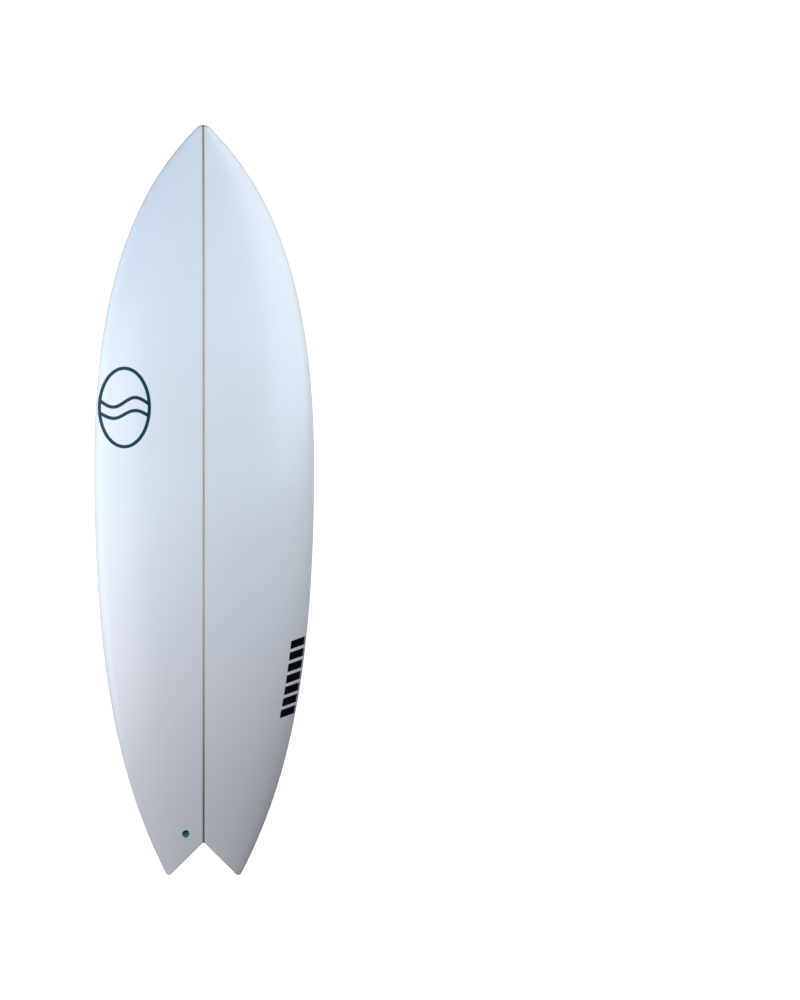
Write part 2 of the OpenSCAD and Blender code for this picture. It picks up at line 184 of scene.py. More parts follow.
class SurfboardFinish(bpy.types.PropertyGroup):
    """Colours and gloss."""

    skin: colour("Skin", (0.82, 0.825, 0.83), "Clear glass and resin over white foam")
    skin_warm: colour("Skin, warm patches", (0.80, 0.795, 0.785), "Where the resin lies thicker")
    # the skin turns warmer and a little darker towards the tail
    skin_tail: colour("Skin at the tail", (0.82, 0.785, 0.785), "Where the tail's resin has aged")
    foam: colour("Foam", (0.84, 0.83, 0.79), "Core under the skin")
    wood: colour("Wood", (0.52, 0.44, 0.31), "Stringer between its darker lines")
    wood_nose: colour("Wood at the nose", (0.36, 0.21, 0.11), "Stringer where the resin is amber")
    wood_tail: colour("Wood at the tail", (0.15, 0.10, 0.055), "Stringer where it has darkened")
    grain: colour("Grain", (0.34, 0.27, 0.18), "Dark lines of the stringer's grain")
    glue: colour("Glue line", (0.24, 0.17, 0.11), "Edges of the stringer")
    teal: colour("Teal ink", (0.003, 0.040, 0.066), "Emblem prints")
    black: colour("Black ink", (0.0015, 0.0015, 0.0025), "Stripe and disc prints")
    box_plastic: colour("Box plastic", (0.011, 0.011, 0.013), "Moulded fin boxes")
    plug_plastic: colour("Plug plastic", (0.66, 0.83, 0.89), "Moulded leash plug")
    # painted shade: the colour painted into the plug's hollow to stand for its shade
    plug_painted_shade: colour("Plug hollow", (0.13, 0.32, 0.39), "The plug's hollow")
    steel: colour("Steel", (0.58, 0.58, 0.57), "Set screws")
    # painted shade: the bar's steel is darkened to stand for the shade inside the plug's hollow
    bar_steel_painted_shade: colour("Bar steel", (0.17, 0.23, 0.26), "Leash bar, dulled by salt water")
    gloss: factor("Skin roughness", 0.34, "Roughness of the sanded resin")
    ink_lift: length("Ink height", 0.00009, "Height of the inks over the skin")


class SurfboardStudio(bpy.types.PropertyGroup):
    """Camera, lights and floor."""

    picture_h: length("Picture height", 2.303, "Height of the scene that the camera takes in")
    camera_x: length("Camera offset", 0.4525, "How far to the right of the board the camera looks")
    lens: factor("Lens", 300.0, "Focal length in millimetres, with a 36 mm picture", 1000.0)
    true_at: length("True height", 0.085, "Height in the scene that the camera sees at true scale")
    floor_colour: colour("Floor", (0.88, 0.885, 0.89), "Pale floor")
    floor_glow: factor("Floor glow", 0.98, "Light that the floor gives off", 10.0)
    sky: colour("Sky", (0.070, 0.075, 0.085), "Dim light from above the horizon")
    ground: colour("Ground", (0.35, 0.365, 0.38), "Light from below the horizon")


# ---- hull surface ----


def blend_of(a, b, t):
    """From a at t = 0 to b at t = 1."""
    return a + (b - a) * t


def rounding(gap, radius):
    """Fall of a rounded edge at distance gap from its wall: r - sqrt(r^2 - (r - s)^2), where s is
    the gap up to r."""
    s = np.clip(gap, 0, radius)
    return radius - np.sqrt(np.maximum(radius**2 - (radius - s) ** 2, 0))


class Hull:
    """The board's outer surface. Every function takes numpy arrays of stations and distances."""

    nose_round = 12 * MM  # length over which both faces meet at the nose
    tail_run = 300 * MM  # length of the tail that the blended rows cover
    low_edge = 0.0009  # radius of the notch wall's lower edge
    nose_rows = 16
    main_rows = 150
    tail_rows_even = 46

    def __init__(self, s):
        self.s = s
        self.half_w = s.board_w / 2
        self.half_s = s.stringer_w / 2
        self.nose_c = math.sqrt(s.nose_r**2 - self.half_s**2)
        self.tip_c = s.board_l - s.tip_r
        self.nose_end = self.nose_c - s.nose_r * math.sin(s.nose_angle)
        self.tail_end = self.tip_c + s.tip_r * math.sin(s.tail_angle)
        self.tail_from = s.board_l - self.tail_run
        nose_drop = self.half_w - s.nose_r * math.cos(s.nose_angle)
        nose_span = s.wide_at - self.nose_end
        self.nose = self.power(nose_drop, nose_span, math.tan(s.nose_angle), 2.3, 6)
        tail_drop = self.half_w - s.tip_x - s.tip_r * math.cos(s.tail_angle)
        tail_span = self.tail_end - s.wide_at
        self.tail = self.power(tail_drop, tail_span, math.tan(s.tail_angle), 2, 4)

    @staticmethod
    def power(drop, span, slope, p, q):
        """Fall of the half width as a u^p + b u^q over span, touching an end arc at its slope."""
        b = (span * slope - drop * p) / (q - p)
        return span, drop - b, b, p, q

    def half_width(self, d):
        """Half width at station d: the nose arc, two power curves either side of the wide point,
        and the arc of a tail tip."""
        s = self.s
        fall = []
        for (span, a, b, p, q), ahead in ((self.nose, s.wide_at - d), (self.tail, d - s.wide_at)):
            u = np.clip(ahead / span, 0, 1)
            fall.append(a * u**p + b * u**q)
        arc = np.sqrt(np.clip(s.nose_r**2 - (self.nose_c - d) ** 2, self.half_s**2, None))
        tip = s.tip_x + np.sqrt(np.clip(s.tip_r**2 - (d - self.tip_c) ** 2, 0, None))
        middle = self.half_w - np.where(d < s.wide_at, fall[0], fall[1])
        return np.where(d < self.nose_end, arc, np.where(d < self.tail_end, middle, tip))

    def share(self, d):
        """Distance from the low point as a share of the distance to the board's end."""
        s = self.s
        return np.where(
            d < s.low_at, (s.low_at - d) / s.low_at, (d - s.low_at) / (s.board_l - s.low_at)
        ).clip(0, 1)

    def rocker(self, d):
        """Height of the bottom: a gentle power of the share plus a steep one close to the end."""
        s, u = self.s, self.share(d)
        return np.where(
            d < s.low_at,
            (s.nose_rocker - s.nose_flip) * u**2.6 + s.nose_flip * u**16,
            (s.tail_rocker - s.tail_kick) * u**2.25 + s.tail_kick * u**7,
        )

    def thickness(self, d):
        """Thickness, falling from the low point as a power of the share."""
        s, u = self.s, self.share(d)
        return np.where(
            d < s.low_at,
            s.board_t - (s.board_t - s.nose_t) * u**2.35,
            s.board_t - (s.board_t - s.tail_t) * u**2.65,
        )

    def apex_share(self, d):
        s = self.s
        return np.where(d < s.low_at, s.apex_mid, blend_of(s.apex_mid, s.apex_tail, self.share(d)))

    def apex(self, d):
        """Height of the rail's edge."""
        return self.rocker(d) + self.apex_share(d) * self.thickness(d)

    def tuck(self, d):
        """Width of the tucked-under edge: it follows the outline in front and narrows behind."""
        s = self.s
        behind = s.tuck_tail + (s.tuck_mid - s.tuck_tail) * (1 - self.share(d)) ** 1.5
        return np.where(d < s.low_at, s.tuck_mid * self.half_width(d) / self.half_w, behind)

    def fade(self, d):
        """Quarter ellipse that brings both faces to the rail's height at the nose."""
        u = (self.nose_round - d) / self.nose_round
        return np.sqrt(1 - np.clip(u, 0, 1) ** 2)

    def lane(self, x, d):
        """Share of the half width at distance x, 0 beside the stringer and 1 on the rail."""
        wide = np.maximum(self.half_width(d) - self.half_s, 1e-5)
        return np.clip((np.abs(x) - self.half_s) / wide, 0, 1)

    def deck(self, x, d):
        """Deck height: the rail's edge plus a crown of (1 - lane^2.3)^0.55."""
        rise = (1 - self.apex_share(d)) * self.thickness(d)
        return self.apex(d) + rise * self.fade(d) * (1 - self.lane(x, d) ** 2.3) ** 0.55

    def bottom(self, x, d):
        """Bottom height: flat, with a quarter ellipse up to the rail's edge over the tuck."""
        fall = self.apex_share(d) * self.thickness(d)
        out = np.clip((np.abs(x) - self.half_width(d) + self.tuck(d)) / self.tuck(d), 0, 1)
        return self.apex(d) - fall * self.fade(d) * np.sqrt(1 - out**2)

    def y(self, d):
        return self.s.board_l / 2 - d

    def around(self, side, turn, d):
        """Point at a turn round the half section: the distance from the stringer is the sine of
        the turn, on the deck up to a quarter turn and on the bottom past it."""
        x = blend_of(self.half_s, self.half_width(d), np.sin(turn))
        z = np.where(turn <= math.pi / 2, self.deck(x, d), self.bottom(x, d))
        return np.stack(np.broadcast_arrays(side * x, self.y(d), z), -1)

    def turn_of(self, x, d, on_top):
        """Turn round the section at distance x from the stringer, seen from above or below."""
        turn = np.arcsin(self.lane(x, d))
        return turn if on_top else math.pi - turn

    def normal(self, side, turn, d):
        """Outward normal, from small steps round the section and along the board."""
        step_t, step_d = 2e-4, 5e-5
        round_it = self.around(side, turn + step_t, d) - self.around(side, turn - step_t, d)
        along = self.around(side, turn, d + step_d) - self.around(side, turn, d - step_d)
        n = np.cross(along, round_it) * side
        return n / np.maximum(np.linalg.norm(n, axis=-1, keepdims=True), 1e-12)

    def lifted(self, side, x, d, on_top, height):
        """Point over distance x and station d, height above the surface along its normal."""
        turn = self.turn_of(x, d, on_top)
        return self.around(side, turn, d) + self.normal(side, turn, d) * height

    # The grid seen from above: rows run across the board and turn into the notch behind.

    def straight_rows(self):
        """Stations of the straight rows: round the nose arc, then spreading to the tail rows."""
        s = self.s
        t = np.linspace(0, 1, self.nose_rows + 1) ** 1.4
        first = math.asin(self.half_s / s.nose_r)
        nose = self.nose_c - s.nose_r * np.cos(blend_of(first, math.pi / 2 - s.nose_angle, t))
        t = np.linspace(0, 1, self.main_rows + 1)[1:] ** 1.25
        return np.concatenate([nose, blend_of(nose[-1], self.tail_from, t)])

    def tail_rows(self):
        """Shares of the way to the tail edge for the tail rows. The last rows crowd at the rounded
        edge, at distances from it in millimetres, on a run of about 0.27 m."""
        even = np.linspace(1, 0.02, self.tail_rows_even)[1:]
        close = np.array([3.6, 2.7, 2.0, 1.4, 0.9, 0.5, 0.2, 0.0]) * MM / 0.27
        return 1 - np.concatenate([even, close])

    def tail_edge(self, f, turn):
        """Tail end of the grid at lane f: the notch's side up to lane turn, then the tip's arc."""
        s = self.s
        sin, cos = math.sin(s.notch_angle), math.cos(s.notch_angle)
        corner_x, corner_d = s.tip_x - s.tip_r * cos, self.tip_c + s.tip_r * sin
        back = (corner_x - self.half_s) / sin * (1 - f / turn)
        a = blend_of(math.pi - s.notch_angle, s.tail_angle, np.clip((f - turn) / (1 - turn), 0, 1))
        x = np.where(f <= turn, corner_x - back * sin, s.tip_x + s.tip_r * np.cos(a))
        d = np.where(f <= turn, corner_d - back * cos, self.tip_c + s.tip_r * np.sin(a))
        return x, d

    def plan(self, f, turn):
        """Grid of (distance, station) over rows and lanes f. The tail rows blend the last straight
        row into the tail edge between the stringer and the rail, as a Coons patch."""
        d0 = self.straight_rows()[:, None]
        x_main = blend_of(self.half_s, self.half_width(d0), f[None, :])
        d_main = np.broadcast_to(d0, x_main.shape)
        v, f2 = self.tail_rows()[:, None], f[None, :]
        start_w = float(self.half_width(np.array(self.tail_from)))
        edge = self.tail_edge(f, turn)
        ends = [self.tail_edge(np.array([k]), turn) for k in (0.0, 1.0)]
        rail_d = blend_of(self.tail_from, ends[1][1], v)
        head = blend_of(self.half_s, start_w, f2), np.full_like(f2, self.tail_from)
        middle = np.full_like(v, self.half_s), blend_of(self.tail_from, ends[0][1], v)
        rail = self.half_width(rail_d), rail_d
        starts = (self.half_s, self.tail_from), (start_w, self.tail_from)
        tail = []
        for k in (0, 1):
            inner = blend_of(starts[0][k], ends[0][k], v)
            outer = blend_of(starts[1][k], ends[1][k], v)
            corners = (1 - f2) * inner + f2 * outer
            rows = (1 - v) * head[k] + v * edge[k][None, :]
            tail.append(rows + (1 - f2) * middle[k] + f2 * rail[k] - corners)
        return np.concatenate([x_main, tail[0]]), np.concatenate([d_main, tail[1]])


# ---- meshes ----


def grid_faces(rows, columns, closed=False):
    """Four-sided faces of a grid of points, closed round its columns if asked."""
    i, j = np.meshgrid(
        np.arange(rows - 1), np.arange(columns if closed else columns - 1), indexing="ij"
    )
    k = (j + 1) % columns
    corners = (i * columns + j, (i + 1) * columns + j, (i + 1) * columns + k, i * columns + k)
    return np.stack(corners, -1).reshape(-1, 4)


def new_piece(name, parts, sharp=35, closed=True):
    """Object from a list of (points, faces), each points array shaped to rows of three. A closed
    one has its poles and seams merged and its faces turned outwards."""
    points, faces, start = [], [], 0
    for p, f in parts:
        p = np.asarray(p, float).reshape(-1, 3)
        points.append(p)
        faces.append(np.asarray(f) + start)
        start += len(p)
    mesh = bpy.data.meshes.new(name)
    mesh.from_pydata(np.concatenate(points).tolist(), [], [f for g in faces for f in g.tolist()])
    if closed:
        merge(mesh, outwards=True)
    smooth(mesh, sharp)
    piece = bpy.data.objects.new(name, mesh)
    bpy.context.scene.collection.objects.link(piece)
    return piece


def merge(mesh, outwards):
    """Merges points that coincide. The faces of closed shells can then be turned outwards, while
    those of an open sheet keep the way they point."""
    bm = bmesh.new()
    bm.from_mesh(mesh)
    bmesh.ops.remove_doubles(bm, verts=bm.verts, dist=SAME_POINT)
    if outwards:
        bmesh.ops.dissolve_degenerate(bm, edges=bm.edges, dist=SAME_POINT / 10)
        bmesh.ops.recalc_face_normals(bm, faces=bm.faces)
    bm.to_mesh(mesh)
    bm.free()


def smooth(mesh, degrees):
    """Smooth shading that breaks at edges sharper than the given angle."""
    mesh.shade_smooth()
    mesh.set_sharp_from_angle(angle=math.radians(degrees))


def tube(loops, end_caps=True):
    """Solid from rows of closed loops of points, with the first and last loop filled."""
    rows, columns = loops.shape[:2]
    faces = grid_faces(rows, columns, closed=True)
    parts = [(loops, faces)]
    if end_caps:
        for loop in (loops[0], loops[-1]):
            centre = loop.mean(0, keepdims=True)
            ring = np.arange(columns)
            fan = np.stack([ring, (ring + 1) % columns, np.full(columns, columns)], -1)
            parts.append((np.concatenate([loop, centre]), fan))
    return parts


def slab(hull, side, x, d, on_top, top, low, closed=False):
    """Thin solid on the hull under a grid of (x, d): its rows run along it, each carrying a loop
    over the top from one edge to the other and back underneath. It is a ring if closed."""
    upper = hull.lifted(side, x, d, on_top, top)
    lower = hull.lifted(side, x, d, on_top, low)[:, ::-1]
    loops = np.concatenate([upper, lower], 1)
    if closed:
        loops = np.concatenate([loops, loops[:1]])
    return tube(loops, end_caps=not closed)


def place(piece, slot, material, *nodes, body=BODY):
    """Gives a new piece its material and its body, and hides the nodes it stands for. The slot is
    not used.
    """
    piece.data.materials.clear()
    piece.data.materials.append(material)
    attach(piece, body)
    if nodes:
        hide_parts(*nodes)
    return piece


def cut(piece, cutters, sharp=35):
    """Takes the cutters' solids out of the piece, and removes the cutters."""
    for cutter in cutters:
        modifier = piece.modifiers.new("cut", "BOOLEAN")
        modifier.operation = "DIFFERENCE"
        modifier.solver = "EXACT"
        modifier.object = cutter
    bake_modifiers(piece, sharp)
    for cutter in cutters:
        mesh = cutter.data
        bpy.data.objects.remove(cutter)
        bpy.data.meshes.remove(mesh)
    return piece


def bake_modifiers(piece, sharp=35):
    """Replaces the mesh by the one that its modifiers make."""
    graph = bpy.context.evaluated_depsgraph_get()
    made = bpy.data.meshes.new_from_object(piece.evaluated_get(graph))
    if not len(made.polygons):
        raise RuntimeError(f"{piece.name} came out empty")
    old, piece.data = piece.data, made
    piece.modifiers.clear()
    made.name = piece.name
    bpy.data.meshes.remove(old)
    smooth(made, sharp)


# ---- materials ----


class Value:
    """A shader socket that takes part in Python sums: an expression adds its Math nodes."""

    def __init__(self, shader, socket):
        self.shader, self.socket = shader, socket

    def _math(self, operation, a, b):
        return self.shader.node("ShaderNodeMath", {"operation": operation}, {0: a, 1: b})[0]

    def __add__(self, other):
        return self._math("ADD", self, other)

    def __sub__(self, other):
        return self._math("SUBTRACT", self, other)

    def __neg__(self):
        return self._math("MULTIPLY", self, -1.0)

    def __rsub__(self, other):
        return self._math("SUBTRACT", other, self)

    def __mul__(self, other):
        return self._math("MULTIPLY", self, other)

    __radd__ = __add__
    __rmul__ = __mul__

    def abs(self):
        return self._math("ABSOLUTE", self, 0.0)

    def power(self, other):
        return self._math("POWER", self, other)

    def sine(self):
        return self._math("SINE", self, 0.0)


class Shader:
    """A material with a principled shader, and the nodes that feed it."""

    def __init__(self, name, **constants):
        old = bpy.data.materials.get(name)
        if old:
            bpy.data.materials.remove(old)
        self.material = bpy.data.materials.new(name)
        self.material.use_nodes = True
        self.tree = self.material.node_tree
        self.tree.nodes.clear()
        self.out = self.tree.nodes.new("ShaderNodeOutputMaterial")
        self.principled = self.tree.nodes.new("ShaderNodeBsdfPrincipled")
        self.tree.links.new(self.principled.outputs[0], self.out.inputs["Surface"])
        self.set(**constants)

    def set(self, **inputs):
        """Sets or links sockets of the principled shader, named with _ for each space."""
        for key, value in inputs.items():
            self._feed(self.principled.inputs[key.replace("_", " ")], value)

    def _feed(self, socket, value):
        if isinstance(value, Value):
            self.tree.links.new(value.socket, socket)
        elif socket.type == "RGBA" and hasattr(value, "__len__") and len(value) == 3:
            socket.default_value = (*value, 1.0)
        else:
            socket.default_value = value

    def node(self, kind, settings, inputs):
        """Adds a node: its settings first, then its sockets by name or number. Returns outputs."""
        node = self.tree.nodes.new(kind)
        for key, value in settings.items():
            setattr(node, key, value)
        for key, value in inputs.items():
            self._feed(node.inputs[key], value)
        return [Value(self, o) for o in node.outputs]

    def here(self, scale=(1, 1, 1)):
        """Object coordinates in metres, stretched by scale."""
        spot = self.node("ShaderNodeTexCoord", {}, {})[3]
        return self.node("ShaderNodeMapping", {}, {"Vector": spot, "Scale": scale})[0]

    def xyz(self, vector):
        return self.node("ShaderNodeSeparateXYZ", {}, {0: vector})

    def vector(self, operation, a, b):
        return self.node("ShaderNodeVectorMath", {"operation": operation}, {0: a, 1: b})

    def noise(self, vector, scale, detail=3.0, roughness=0.5):
        """Cloudy noise about 0.5, with features about 1/scale metres wide."""
        inputs = {"Vector": vector, "Scale": scale, "Detail": detail, "Roughness": roughness}
        return self.node("ShaderNodeTexNoise", {}, inputs)[0]

    def fit(self, value, low, high, to_low=0.0, to_high=1.0):
        """Carries low..high to to_low..to_high, clamped."""
        inputs = {"Value": value, "From Min": low, "From Max": high}
        inputs |= {"To Min": to_low, "To Max": to_high}
        return self.node("ShaderNodeMapRange", {"clamp": True}, inputs)[0]

    def soft(self, value, low, high):
        """Smooth step from 0 at low to 1 at high."""
        inputs = {"Value": value, "From Min": low, "From Max": high}
        settings = {"clamp": True, "interpolation_type": "SMOOTHSTEP"}
        return self.node("ShaderNodeMapRange", settings, inputs)[0]

    def mix(self, amount, a, b):
        """Colour a where amount is 0 and b where it is 1."""
        inputs = {"Factor": amount, 6: a, 7: b}
        return self.node("ShaderNodeMix", {"data_type": "RGBA"}, inputs)[2]

    def bump(self, height, distance, strength=1.0, under=None):
        """Normal of a relief whose height of 1 stands distance metres proud."""
        inputs = {"Height": height, "Distance": distance, "Strength": strength}
        if under is not None:
            inputs["Normal"] = under
        return self.node("ShaderNodeBump", {}, inputs)[0]


def skin_material(look):
    """Sanded clear resin over glass cloth and white foam: soft clouds of colour, a warmer tint
    beside the stringer and towards the tail, a faint weave and sanding marks."""
    m = Shader("sanded_skin", IOR=1.5, Coat_Roughness=0.16, Coat_IOR=1.5)
    spot = m.here()
    x, y, _ = m.xyz(spot)
    clouds = m.noise(spot, 5.0, 3.0, 0.55)
    fine = m.noise(spot, 240.0, 2.0, 0.6)
    beside = 1 - m.soft(x.abs(), 0.003, 0.011)
    tint = m.mix(m.fit(clouds, 0.35, 0.68), look.skin, look.skin_warm)
    # warmer and a little darker towards the tail
    tint = m.mix(m.soft(-y, -0.05, 0.70), tint, look.skin_tail)
    tint = m.mix(beside * 0.6, tint, (0.80, 0.76, 0.735))
    tint = m.mix(m.fit(fine, 0.62, 0.8, 0.0, 0.06), tint, (0.70, 0.70, 0.70))
    thread = 0.0013  # distance between the cloth's threads
    pitch = 2 * math.pi / thread
    weave = (x * pitch).sine() * (y * pitch).sine()
    strokes = m.noise(m.here((260.0, 34.0, 260.0)), 1.0, 2.0, 0.5)
    relief = weave * 0.5 + strokes * 0.6 + fine * 0.5
    rough = m.fit(clouds * 0.5 + strokes * 0.5, 0.3, 0.7, look.gloss - 0.05, look.gloss + 0.06)
    m.set(
        Base_Color=tint,
        Roughness=rough,
        Coat_Weight=m.fit(clouds, 0.3, 0.7, 0.20, 0.34),
        Normal=m.bump(relief, 0.000006),
    )
    return m.material


def wood_material(look, name, half=0.0022):
    """Straight-grained wood: dark lines stretched along Y, soft shade along the length, amber at
    the nose, dark at the tail, and a glue line at each side. half is half the wood's width."""
    m = Shader(name, Coat_Weight=0.3, Coat_Roughness=0.2, Specular_IOR_Level=0.4)
    spot = m.here((900.0, 7.0, 900.0))
    x, y, _ = m.xyz(m.here())
    lines = m.noise(spot, 1.0, 4.0, 0.62)
    shade = m.noise(m.here((30.0, 2.4, 30.0)), 1.0, 2.0, 0.5)
    tint = m.mix(m.fit(lines, 0.42, 0.66), look.wood, look.grain)
    tint = m.mix(m.fit(shade, 0.4, 0.62, 0.0, 0.35), tint, (0.62, 0.49, 0.33))
    tint = m.mix(m.soft(y, 0.55, 0.80) * 0.8, tint, look.wood_nose)
    tint = m.mix(m.soft(-y, 0.25, 0.75) * 0.85, tint, look.wood_tail)
    edge = m.soft(x.abs(), half * 0.72, half * 0.93)
    tint = m.mix(edge * 0.5, tint, look.glue)
    m.set(
        Base_Color=tint,
        Roughness=m.fit(lines, 0.3, 0.7, 0.34, 0.48),
        Normal=m.bump(lines, 0.00001),
    )
    return m.material


def foam_material(look):
    """Shaped closed-cell foam: fine open cells and a little yellowing in clouds."""
    m = Shader("shaped_foam", Roughness=0.9, Specular_IOR_Level=0.2)
    spot = m.here()
    cells = m.node("ShaderNodeTexVoronoi", {"feature": "F1"}, {"Vector": spot, "Scale": 1400.0})[0]
    clouds = m.noise(spot, 9.0)
    tint = m.mix(m.fit(clouds, 0.35, 0.7), look.foam, (0.80, 0.76, 0.66))
    tint = m.mix(m.fit(cells, 0.0, 0.35, 0.35, 0.0), tint, (0.55, 0.52, 0.45))
    m.set(Base_Color=tint, Normal=m.bump(cells, 0.00012))
    return m.material


def ink_material(look, name, tint, lighter):
    """Ink soaked into thin paper under the resin: fibres lighten it a little."""
    m = Shader(name, Coat_Weight=0.06, Coat_Roughness=0.2, Specular_IOR_Level=0.12)
    spot = m.here()
    fibres = m.noise(m.here((500.0, 900.0, 500.0)), 1.0, 4.0, 0.7)
    clouds = m.noise(spot, 40.0, 2.0)
    shade = m.mix(m.fit(fibres, 0.45, 0.75, 0.0, 0.45), tint, lighter)
    m.set(
        Base_Color=shade,
        Roughness=m.fit(clouds, 0.3, 0.7, look.gloss - 0.04, look.gloss + 0.06),
        Normal=m.bump(fibres, 0.000006),
    )
    return m.material


def box_material(look):
    """Glass-filled black plastic, sanded flush: pale scratches and a fine mottle."""
    m = Shader("box_plastic", Specular_IOR_Level=0.45)
    spot = m.here()
    strokes = m.noise(m.here((1500.0, 120.0, 1500.0)), 1.0, 3.0, 0.6)
    mottle = m.noise(spot, 900.0, 2.0, 0.6)
    tint = m.mix(m.fit(strokes, 0.55, 0.8, 0.0, 0.5), look.box_plastic, (0.050, 0.050, 0.054))
    tint = m.mix(m.fit(mottle, 0.5, 0.8, 0.0, 0.35), tint, (0.030, 0.030, 0.033))
    m.set(
        Base_Color=tint,
        Roughness=m.fit(strokes + mottle * 0.5, 0.55, 0.95, 0.38, 0.56),
        Normal=m.bump(strokes * 0.6 + mottle, 0.00002),
    )
    return m.material


def resin_material():
    """Filled casting resin: milky, with small bubbles."""
    m = Shader("bed_resin", Specular_IOR_Level=0.5)
    spot = m.here()
    bubbles = m.node("ShaderNodeTexVoronoi", {"feature": "F1"}, {"Vector": spot, "Scale": 700.0})[0]
    clouds = m.noise(spot, 60.0)
    tint = m.mix(m.fit(clouds, 0.35, 0.7), (0.72, 0.73, 0.71), (0.80, 0.80, 0.76))
    m.set(
        Base_Color=m.mix(m.fit(bubbles, 0.0, 0.12, 0.5, 0.0), tint, (0.5, 0.5, 0.48)),
        Roughness=m.fit(clouds, 0.3, 0.7, 0.3, 0.45),
        Normal=m.bump(m.fit(bubbles, 0.0, 0.2), 0.0001),
    )
    return m.material


def plug_material(look, centre, normal):
    """Moulded pale blue plastic, with painted shade in its hollow that deepens with depth and a
    painted lit side where that shade fades.
    """
    m = Shader("plug_plastic", Specular_IOR_Level=0.5, Coat_Weight=0.25, Coat_Roughness=0.2)
    spot = m.here()
    offset = m.vector("SUBTRACT", spot, tuple(centre))[0]
    depth = m.vector("DOT_PRODUCT", offset, tuple(-normal))[1]
    mottle = m.noise(spot, 1200.0, 3.0, 0.6)
    tint = m.mix(m.fit(mottle, 0.35, 0.7, 0.0, 0.3), look.plug_plastic, (0.74, 0.87, 0.91))
    x, y, _ = m.xyz(spot)
    # painted shade: the hollow is painted darker with depth, and lighter on one side as a painted
    # lit side
    painted_lit_side = (x - centre[0]) * 0.45 - (y - centre[1]) * 0.9
    dark = m.soft(depth, 0.0012, 0.0060) * (1 - m.soft(painted_lit_side, 0.0, 0.0065) * 0.95)
    tint = m.mix(dark, tint, look.plug_painted_shade)
    m.set(
        Base_Color=tint,
        Roughness=m.fit(mottle, 0.3, 0.7, 0.30, 0.44),
        Normal=m.bump(mottle, 0.00001),
    )
    return m.material


def steel_material(name, steel):
    """Turned stainless steel: fine streaks and faint stains."""
    m = Shader(name, Metallic=1.0)
    spot = m.here()
    streaks = m.noise(m.here((6000.0, 900.0, 6000.0)), 1.0, 3.0, 0.6)
    stains = m.noise(spot, 500.0, 3.0, 0.6)
    tint = m.mix(m.fit(stains, 0.5, 0.75, 0.0, 0.4), steel, (0.30, 0.28, 0.25))
    m.set(
        Base_Color=tint,
        Roughness=m.fit(streaks + stains * 0.5, 0.5, 0.95, 0.22, 0.42),
        Normal=m.bump(streaks, 0.000008),
    )
    return m.material


# ---- frames of the fittings ----


def unit(v):
    v = np.asarray(v, float)
    return v / np.linalg.norm(v)


def axes_of(y, z):
    """Axes as columns, from the Y and Z ones."""
    return np.stack([np.cross(y, z), y, z], -1)


def axes_about(out):
    """Axes as columns, with Z along a screw's outward axis."""
    return axes_of(unit(np.cross(out, [1.0, 0.0, 0.0])), out)


def mount(name):
    """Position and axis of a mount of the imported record."""
    found = next(m for m in frame["record"]["mounts"] if m["name"] == name)
    return np.array(found["pos_m"], float), unit(found["axis"])


def screw_joint(side, end):
    """Position and outward axis of a set screw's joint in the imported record."""
    name = f"fin_screw_{side}_{end}_turn"
    found = next(j for j in frame["joints"] if j["name"] == name)
    return np.array(found["pos_m"], float), unit(found["axis"])


def box_frame(fittings, side):
    """Origin on a fin box's face and its axes as columns: X across, Y forward, Z into the board.
    The slot floor's mount gives the origin and Z, and the two screws give Y."""
    floor, out = mount(f"{side}_fin_slot_floor")
    forward = screw_joint(side, "front")[0] - screw_joint(side, "rear")[0]
    z = -out
    y = unit(forward - z * (forward @ z))
    return floor + out * fittings.slot_depth, axes_of(y, z)


def plug_frame(hull, fittings):
    """Origin on the leash plug's rim and its axes as columns, Z out of the deck along its normal."""
    x, d = np.array(fittings.plug_x), np.array(fittings.plug_at)
    turn = hull.turn_of(x, d, True)
    z = hull.normal(-1, turn, d)
    y = unit(np.cross(z, np.cross([0.0, 1.0, 0.0], z)))
    return hull.around(-1, turn, d), axes_of(y, z)


def to_world(points, origin, axes):
    return origin + points @ axes.T


# ---- outlines ----


def rounded_loop(half_x, half_y, radius, count):
    """Loop round a rectangle with round corners, as many points on each corner as on the others,
    so that loops of any size match point for point."""
    quarter = count // 4
    t = np.linspace(0, math.pi / 2, quarter)
    x, y = half_x - radius, half_y - radius
    corners = []
    for k, (right, ahead) in enumerate(((1, 1), (-1, 1), (-1, -1), (1, -1))):
        a = t + k * math.pi / 2
        corner = [right * x + radius * np.cos(a), ahead * y + radius * np.sin(a)]
        corners.append(np.stack(corner, -1))
    return np.concatenate(corners)


def circle(radius, count):
    """Loop of count points on a circle."""
    a = np.linspace(0, 2 * math.pi, count, endpoint=False)
    return np.stack([radius * np.cos(a), radius * np.sin(a)], -1)


def at_height(loop, z):
    """A flat loop raised to height z."""
    return np.concatenate([loop, np.full((len(loop), 1), z)], -1)


# ---- operators ----


def settings():
    """The hull that the scene's settings make, the fittings' sizes and the finishes."""
    scene = bpy.context.scene
    return Hull(scene.surfboard_shape), scene.surfboard_fittings, scene.surfboard_finish


def drop_piece(name):
    """Removes a piece of an earlier run."""
    old = bpy.data.objects.get(name)
    if old is not None and "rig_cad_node" not in old:
        bpy.data.objects.remove(old)


